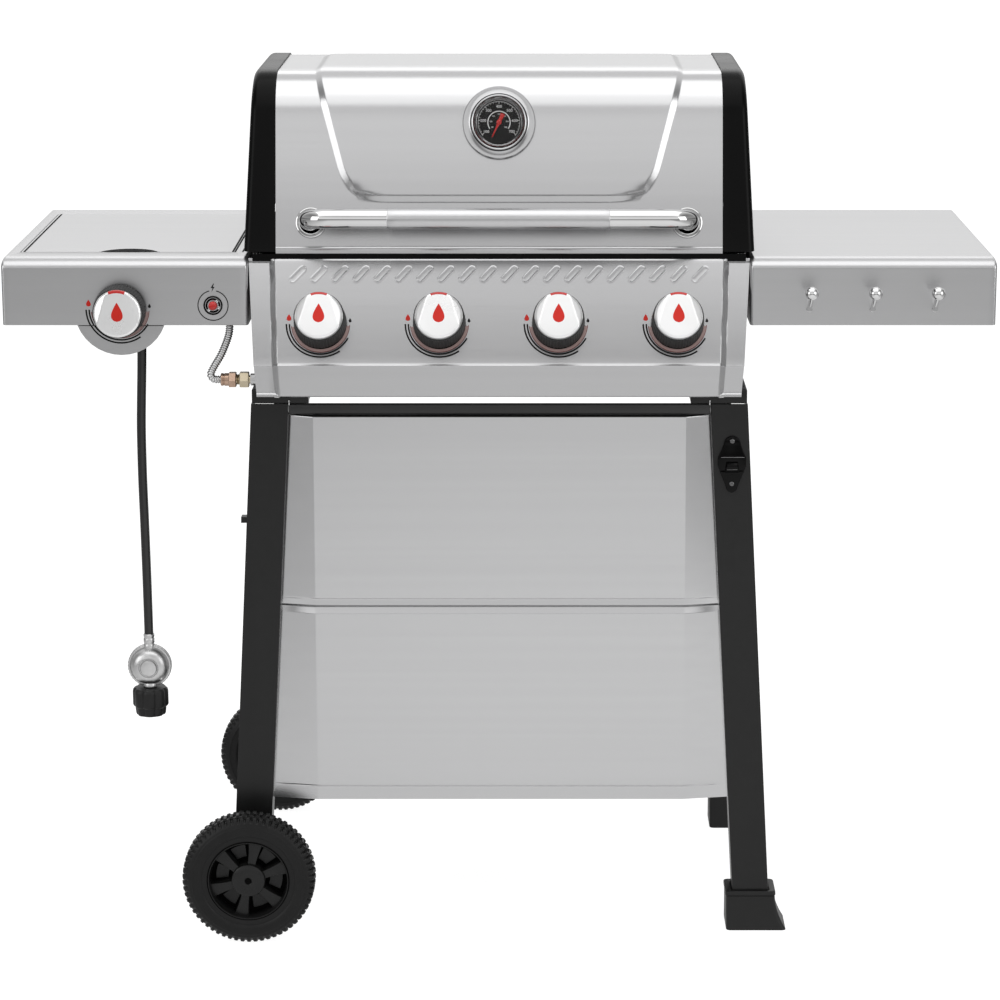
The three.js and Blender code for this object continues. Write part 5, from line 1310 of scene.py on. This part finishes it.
def make_fitting():
    """A plain sleeve, a hexagon, a neck, a second hexagon and the pipe into the panel."""
    seat = Seat((-362, -222, 753), (1, 0, 0))
    sleeve = [(0, 0), (7.6, 0), (8.4, 0.8), (8.4, 3), (7.7, 3.6), (7.7, 4.6), (8.4, 5.2), (8.4, 10.8),
              (0, 10.8)]
    nut = [(0, 10.6), (8.8, 10.6), (9.3, 11.2), (9.3, 19.4), (8.8, 20), (0, 20)]
    solid("fitting_copper", [turned(seat, sleeve, 48), turned(seat, nut, 60, hexagon)], COPPER, "cart",
          ("flex_fitting",), 28)
    neck = [(0, 19.8), (6.2, 19.8), (7, 20.6), (6.4, 21.6), (7, 22.6), (6.4, 23.6), (7, 24.6), (0, 24.8)]
    second = [(0, 24.6), (9.0, 24.6), (9.5, 25.4), (9.5, 35.8), (9.0, 36.6), (0, 36.6)]
    pipe = [(0, 36), (5.5, 36), (5.5, 42.3), (0, 42.3)]
    solid("fitting_brass", [turned(seat, neck, 48), turned(seat, second, 60, hexagon),
                            turned(seat, pipe, 40)],
          BRASS, "cart", (), 28)


make_fitting()

# ------------------------------------------------------------------ wheels
LEG_WIDE, LEG_DEEP = 48.5, 40.0
LEG_TOP, LEG_TOP_HALF, LEG_LEAN = 722.0, 323.0, 0.056


def leg_outer(z):
    """Distance of the legs' outer side from the middle: they lean outwards going down."""
    return LEG_TOP_HALF + (LEG_TOP - np.asarray(z, float)) * LEG_LEAN


WHEEL_RADIUS, WHEEL_MIDDLE = 88.8, 272.0
LUGS, SPOKES = 62, 6
WHEEL_X = -(float(leg_outer(WHEEL_RADIUS)) - LEG_WIDE / 2)


def make_wheel(name, face):
    """A tyre with three rows of lugs, each row half a pitch from the next, on a rim with six spokes."""
    seat = Seat((WHEEL_X, face * WHEEL_MIDDLE, WHEEL_RADIUS), (0, face, 0))
    outline = rounded([(54.6, 0, -19), (66, 0, -21.6), (78, 0, -21.2), (86.3, 0, -14.5), (86.6, 0, 0),
                       (86.3, 0, 14.5),
                       (78, 0, 21.2), (66, 0, 21.6), (54.6, 0, 19)], [0, 8, 10, 7, 0, 7, 10, 8, 0], 1.4, 6)
    radius, across = outline[:, 0], outline[:, 2]
    angle = full_turn(620)
    shift = np.where(np.abs(across) > 7.5, np.pi, 0) + across * 0.05
    lug = np.clip(2.6 * np.cos(LUGS * angle[None, :] + shift[:, None]) + 1.1, -1, 1) * 0.5 + 0.5
    between_rows = np.clip((np.abs(np.abs(across) - 7.5) - 0.7) / 0.9, 0, 1)
    tread = np.clip((radius - 80.5) / 2.5, 0, 1)
    reach = radius[:, None] + tread[:, None] * (3.4 * lug * between_rows[:, None] - 1.7)
    line = 0.6 * (np.exp(-(((radius - 74.5) / 0.9) ** 2)) - 1.6 * np.exp(-(((radius - 62) / 1.1) ** 2)))
    wall = across[:, None] + (np.sign(across) * line)[:, None]
    bead = polar(54.6 * 0.985, angle, 19.0 * 0.97)
    rows = np.concatenate([polar(reach, angle, wall), [bead], [bead * (1, 1, -1)]])
    tyre = grid(seat.to(rows), wrap_rows=True, wrap_columns=True)
    solid(f"{name}_tyre", [tyre], TYRE_RUBBER, name, (name,), 38)
    rim = [(54.0, -17), (53.9, 17.6), (53.7, 19.2), (53.1, 20.0), (52.3, 19.8), (51.4, 18.2), (50.8, 15.0),
           (50.2, -6.4),
           (48.6, -7.2), (22, -7.2), (22, -8.2), (22.2, -9.5), (48.6, -9.5), (50.2, -17), (54.0, -17)]
    hub = [(5.4, -41.5), (14.4, -41.5), (14.8, -40.5), (22.0, -9), (22.4, -3), (22.4, 15.6), (21.6, 17.6),
           (19, 19),
           (12, 20.2), (6, 20.6), (5.2, 20.2), (4.2, 19.5), (0.01, 19.4), (0.01, 19.2), (5.4, 19.2), (5.4,
                                                                                                      -41.5)]
    parts = [turned(seat, rim, 120), turned(seat, hub, 80)]
    t = np.linspace(0, 1, 13)
    for k in range(SPOKES):
        spoke = seat.turned_to(18.5 + 360 / SPOKES * k)
        rows = []
        for y, w, h in zip(20.5 + 31.0 * t, 5.4 + 4.4 * t**1.6, 13.6 - 2.8 * ease(t)):
            rows.append([(-w - 0.8, y, -7.6), (-w, y, h - 1.4), (-w + 0.5, y, h - 0.4), (-w + 1.5, y, h),
                         (w - 1.5, y, h), (w - 0.5, y, h - 0.4), (w, y, h - 1.4), (w + 0.8, y, -7.6)])
        parts.append(grid(spoke.to(capped(np.array(rows))), wrap_columns=True))
    solid(f"{name}_rim", parts, RIM_PLASTIC, name, (), 32)
    pads = []
    for k in range(SPOKES):
        middle = 48.5 + 360 / SPOKES * k
        outline = arc_outline(27.5, 44.5, middle - 12.5, middle + 15.5, 12)
        rows = [at_height(outline, h) for h in (-7.5, -2.4, -1.8)]
        centre = outline.mean(0)
        rows[2][:, :2] = centre + (rows[2][:, :2] - centre) * 0.96
        pads.append(grid(seat.to(np.array([*rows, pole((*centre, -1.8), 24)])), wrap_columns=True))
    solid(f"{name}_pads", pads, RIM_PLASTIC, name, (), 32)
    # painted shade: black sheets at the back of the rim's windows, in the groove between rim and tyre and in
    # the hub's dimple
    shaded_web = [(22.3, -7.0), (50.3, -6.6), (50.3, -6.2), (22.3, -6.6), (22.3, -7.0)]
    groove = [(53.7, 18.4), (54.9, 18.4), (54.9, 19.3), (53.7, 19.3), (53.7, 18.4)]
    dimple = [(0, 19.3), (3.6, 19.3), (4.1, 20.3), (3.4, 20.3), (2.6, 19.7), (0, 19.7)]
    solid(f"{name}_web", [turned(seat, shaded_web, 96), turned(seat, groove, 96), turned(seat, dimple, 32)],
          BLACK_AND_PAINTED_SHADE, name, (), 32)


make_wheel("wheel_front", -1)
make_wheel("wheel_rear", 1)
softened("wheel_axle", ZINC, 0.6)

# ------------------------------------------------------------------ cart, firebox and what is in it
for leg in ("leg_front_left", "leg_rear_left", "leg_front_right", "leg_rear_right"):
    softened(leg, POWDER_COAT, 1.6)


def make_top_frame():
    """Two rails over the legs, and a shallow crossbar at the front and at the back."""
    half, low, high = 274.2, 708.8, 721.2
    rails = [block((side * 248.5, -229, 722.3), (side * 322, 229, 741), 1.6) for side in (-1, 1)]
    rails.append(block((-half, 217.5, low), (half, LEG_FACE, high), 1.2))
    solid("frame_rails", rails, POWDER_COAT, "cart", ("top_frame",), 40)
    front = block((-half, -LEG_FACE, low), (half, -218.5, high), 1.2)
    # painted light: the front crossbar gets the lighter copy of the powder coat
    solid("frame_crossbar", [front], LIGHTER_POWDER_COAT, "cart", (), 40)


make_top_frame()
softened("bottom_shelf", POWDER_COAT, 1.4)


STUD_SHARE = 0.6  # what is left of the stud's length


def shorten_leg_stud():
    """Draws the stud beside the left leg in towards the leg's face."""
    for vertex in bpy.data.objects["leg_front_left_made"].data.vertices:
        beyond = -vertex.co.x * 1000 - float(leg_outer(vertex.co.z * 1000))
        if beyond > 0.3:
            vertex.co.x += beyond * (1 - STUD_SHARE) / 1000


shorten_leg_stud()
PANEL_FIELD = 242.0  # half width of the raised field of the front panels


def rimmed(points, depth):
    """The grid with one more point all round, straight behind its rim at the given depth."""
    padded = np.pad(points, ((1, 1), (1, 1), (0, 0)), "edge")
    for edge in ((0, slice(None)), (-1, slice(None)), (slice(None), 0), (slice(None), -1)):
        padded[edge][..., 1] = depth
    return padded


def make_front_panel(label, low, high, step_low, step_high, share_low, share_high):
    """A pressed sheet with a raised field.

    Its rise is 12 times a straight climb in from each leg, times a share that starts at share_low and
    share_high at the lower and upper edges and is one past step_low and step_high. A fine groove follows
    the lower fold. The rim turns back.
    """
    z = spaced(low, 0.45, low + step_low + 2, 9, high - step_high - 2, 0.45, high)
    edge = leg_outer(z)[:, None] - LEG_WIDE - 0.3
    climb = spaced(0, 0.012, 0.06, 0.08, 0.9, 0.012, 1.0)
    bevel = edge - climb[None, :] * (edge - PANEL_FIELD)
    field = PANEL_FIELD * spaced(0, 0.12, 0.99, 0.004, 1.0)[::-1][1:]
    half = np.concatenate([bevel, np.broadcast_to(field, (len(z), len(field)))], 1)
    x = np.concatenate([-half, half[:, -2::-1]], 1)
    side = ramp((edge - np.abs(x)) / (edge - PANEL_FIELD), 0.035)
    share = 1 - (1 - share_low) * (1 - ramp((z - low) / step_low, 1.2 / (step_low + 2)))
    share -= (1 - share_high) * (1 - ramp((high - z) / step_high, 1.2 / (step_high + 2)))
    groove = 0.8 * np.exp(-(((z - low - step_low) / 0.8) ** 2))
    y = -225 - (12 * share - groove)[:, None] * side
    outer = rimmed(np.stack([x, y, np.broadcast_to(z[:, None], x.shape)], -1), -208.0)
    inner = rimmed(np.stack([x * (edge - 1.2) / edge, y + 1.2,
                             np.clip(np.broadcast_to(z[:, None], x.shape), low + 1.2,
                                     high - 1.2)], -1), -208.0)
    solid(f"{label}_sheet", walls(outer, inner), CART_STEEL, "cart", (label,), 30)


make_front_panel("front_panel_upper", 452.8, 707.0, 9.0, 1.0, 0.72, 0.5)
make_front_panel("front_panel_lower", 184.6, 450.2, 19.0, 9.0, 0.88, 0.78)


def make_boot(label, face):
    """Rings round the leg: a skirt that flares as the square of the depth, a collar and a socket."""
    out = math.copysign(1, face)

    def ring(z, outer, inner, ends, corner=5.0):
        y0, y1 = sorted((face + out * ends, face - out * (LEG_DEEP + ends)))
        return rectangle(float(leg_outer(z)) - LEG_WIDE - inner, float(leg_outer(z)) + outer, y0, y1, corner,
                         z)

    rings = []
    for z, inset in ((0, 1.3), (0.4, 0.4), (1.2, 0), (4, 0), (8, 0), (12, 0), (17, 0), (22, 0), (27, 0),
                     (32, 0),
                     (37, 0), (42, 0), (46.6, 0), (47.2, 0.5)):
        flare = max(0.0, 1 - z / 46) ** 2
        rings.append(ring(z, 8.6 + 13 * flare - inset, 8.6 + 2.4 * (1 - z / 54) - inset,
                          5 + 6 * flare - inset))
    for z, inset in ((47.8, 0.5), (48.4, 0), (52.4, 0), (53.4, 0.4), (53.9, 1.1), (54.0, 1.9)):
        rings.append(ring(z, 9.6 - inset, 9.6 - inset, 6 - inset))
    rings += [ring(54.0, 2.0, 2.0, 1.6, 1.5), ring(53.2, 0.6, 0.6, 0.6, 1.0), ring(5.7, 0.6, 0.6, 0.6, 1.0)]
    middle = (float(leg_outer(0)) - LEG_WIDE / 2, face - out * LEG_DEEP / 2)
    first, last = (pole((*middle, z), len(rings[0])) for z in (0.0, 5.7))
    solid(f"{label}_boot", [grid(np.array([first, *rings, last]), wrap_columns=True)], BOOT_PLASTIC, "cart",
          (label,), 28)


make_boot("foot_front_right", -LEG_FACE)
make_boot("foot_rear_right", LEG_FACE)


def make_opener():
    """A cast plate, round at both ends and wide in the middle, with a ledge, a tongue and two screws."""
    middle, back = 303.2, -230.3
    z = np.concatenate([[604.5], 612 - 7.5 * np.cos(np.linspace(0.2, np.pi / 2, 8)),
                        spaced(613, 3, 640, 3, 652),
                        spaced(653.5, 1.5, 668.7), 668.7 + 11 * np.sin(np.linspace(0.15, 1.45, 9)), [679.7]])
    low_round = np.sqrt(np.clip(7.5**2 - np.clip(612 - z, 0, None) ** 2, 0, None))
    high_round = np.sqrt(np.clip(11**2 - np.clip(z - 668.7, 0, None) ** 2, 0, None))
    wide = np.interp(z, (612, 640, 651, 660, 668.7), (7.5, 18.5, 18.5, 14.2, 11))
    wide = np.where(z < 612, low_round, np.where(z > 668.7, high_round, wide))
    wide = np.maximum(wide, 0.3)
    section = np.array([(-1, 0, 0), (-1, 0, -2.0), (-1, 0.5, -2.7), (-1, 1.3, -3.0), (1, -1.3, -3.0),
                        (1, -0.5, -2.7),
                        (1, 0, -2.0), (1, 0, 0)])
    x = section[None, :, 0] * wide[:, None] + section[None, :, 1] * np.minimum(1, wide[:, None] / 3)
    rows = np.stack([middle + x, back + section[None, :, 2] * np.ones_like(x), z[:, None] * np.ones_like(x)],
                    -1)
    parts = [grid(capped(rows), wrap_columns=True)]
    tongue = [[(-8, 0, 646), (-7, -6.5, 645), (-6.4, -8.4, 643.4), (-6.8, -9, 641), (-8.4, -8.4, 636),
               (-9.4, -6, 633.4),
               (-9.8, 0, 632)]]
    tongue = np.array(tongue * 2, float) + (middle, back - 1.5, 0)
    tongue[1, :, 0] = 2 * middle - tongue[0, :, 0]
    parts += [grid(tongue, wrap_columns=True)]
    for end in tongue:
        parts.append(grid(np.stack([end, pole(end.mean(0), 7)]), wrap_columns=True))
    parts.append(block((middle - 15.5, back - 6.5, 629.6), (middle + 15.5, back - 1.5, 633.4), 1.7))
    solid("opener_casting", parts, CAST_GLOSS, "cart", ("bottle_opener",), 30)
    screw = [(0, 0), (3.6, 0), (3.5, 0.9), (2.8, 1.8), (1.5, 2.3), (0, 2.45)]
    heads = [turned(Seat((middle, back - 2.9, at), (0, -1, 0)), screw, 40) for at in (673.4, 616.5)]
    # painted highlights: thin grey metal strips along the ledge and the tongue stand for the light lines on
    # their edges
    edge = [block((middle - 15.2, back - 17.0, 654.4), (middle + 15.2, back - 16.0, 655.1), 0.3),
            block((middle - 6.5, back - 10.6, 636.6), (middle + 6.5, back - 9.6, 637.1), 0.25)]
    solid("opener_highlights", edge, PAINTED_REFLECTION_STEEL, "cart", (), 50)
    solid("opener_screws", heads, SCREW_BLACK, "cart", (), 50)


make_opener()


def make_small_hardware():
    """Screw heads under the control panel, beads at the crossbar's ends and studs under the lid."""
    head = [(0, 0), (5.0, 0), (4.9, 1.0), (3.9, 2.1), (2.0, 2.8), (0, 3.0)]
    parts = [turned(Seat((side * 285.5, -272, FACE_LOW[1]), (0, 0, -1), (0, 1, 0)), head,
                    40) for side in (-1, 1)]
    for side in (-1, 1):
        parts.append(block((side * 273.4 - 0.9, -231.4, 720.6), (side * 273.4 + 0.9, -229.6, 727.4), 0.8))
        for x in (308.6, 312.4, 316.2):
            stud = [(0, 0), (1.1, 0), (1.1, 5.6), (0.7, 6.2), (0, 6.3)]
            parts.append(turned(Seat((side * x, -219.5, 912.6), (0, 0, 1), (0, 1, 0)), stud, 16))
    solid("small_hardware", parts, CHROME, "cart", (), 45)


make_small_hardware()
inside = [
    ("firebox", CAST_BLACK, 1.2, "cast_black"), ("gas_manifold", ZINC, 0.5, "zinc"),
    ("side_burner_valve", PLAIN_STEEL, 0.5, "zinc"), ("side_burner_head", ENAMEL, 0.8, "iron"),
    ("side_burner_grate", GRATE_IRON, 0.9, "iron"), ("grease_tray", PLAIN_STEEL, 0.6, "stainless"),
]
for number in range(1, 5):
    inside += [(f"burner_{number}", BURNER_STEEL, 0.4, "stainless"),
               (f"flame_tamer_{number}", TAMER_STEEL, 0.5, "stainless"),
               (f"valve_stem_{number}", BRASS, 0.3, "brass")]
inside += [("valve_stem_side", BRASS, 0.3, "brass"), ("cooking_grate_left", GRATE_IRON, 1.6, "iron"),
           ("cooking_grate_right", GRATE_IRON, 1.6, "iron")]
for label, finish, width, slot in inside:
    softened(label, finish, width)


def make_rack():
    """Cross wires and bent end frames of one round wire."""
    end, high, foot = 311.0, 985.0, 918.4
    depth = [-2, 29, 60, 91, 122, 153]
    wires = [carried([(-end, y, high), (0, y, high), (end, y, high)], 2.5, 14) for y in depth]
    for side in (-end, end):
        wires.append(carried([(side, -5, high), (side, 75, high), (side, 156, high)], 2.5, 14))
        for y in (29, 122):
            wires.append(carried([(side, y, foot), (side, y, high)], 2.5, 14))
    solid("rack_wires", wires, CHROME, "rack", ("warming_rack",), 40)


make_rack()
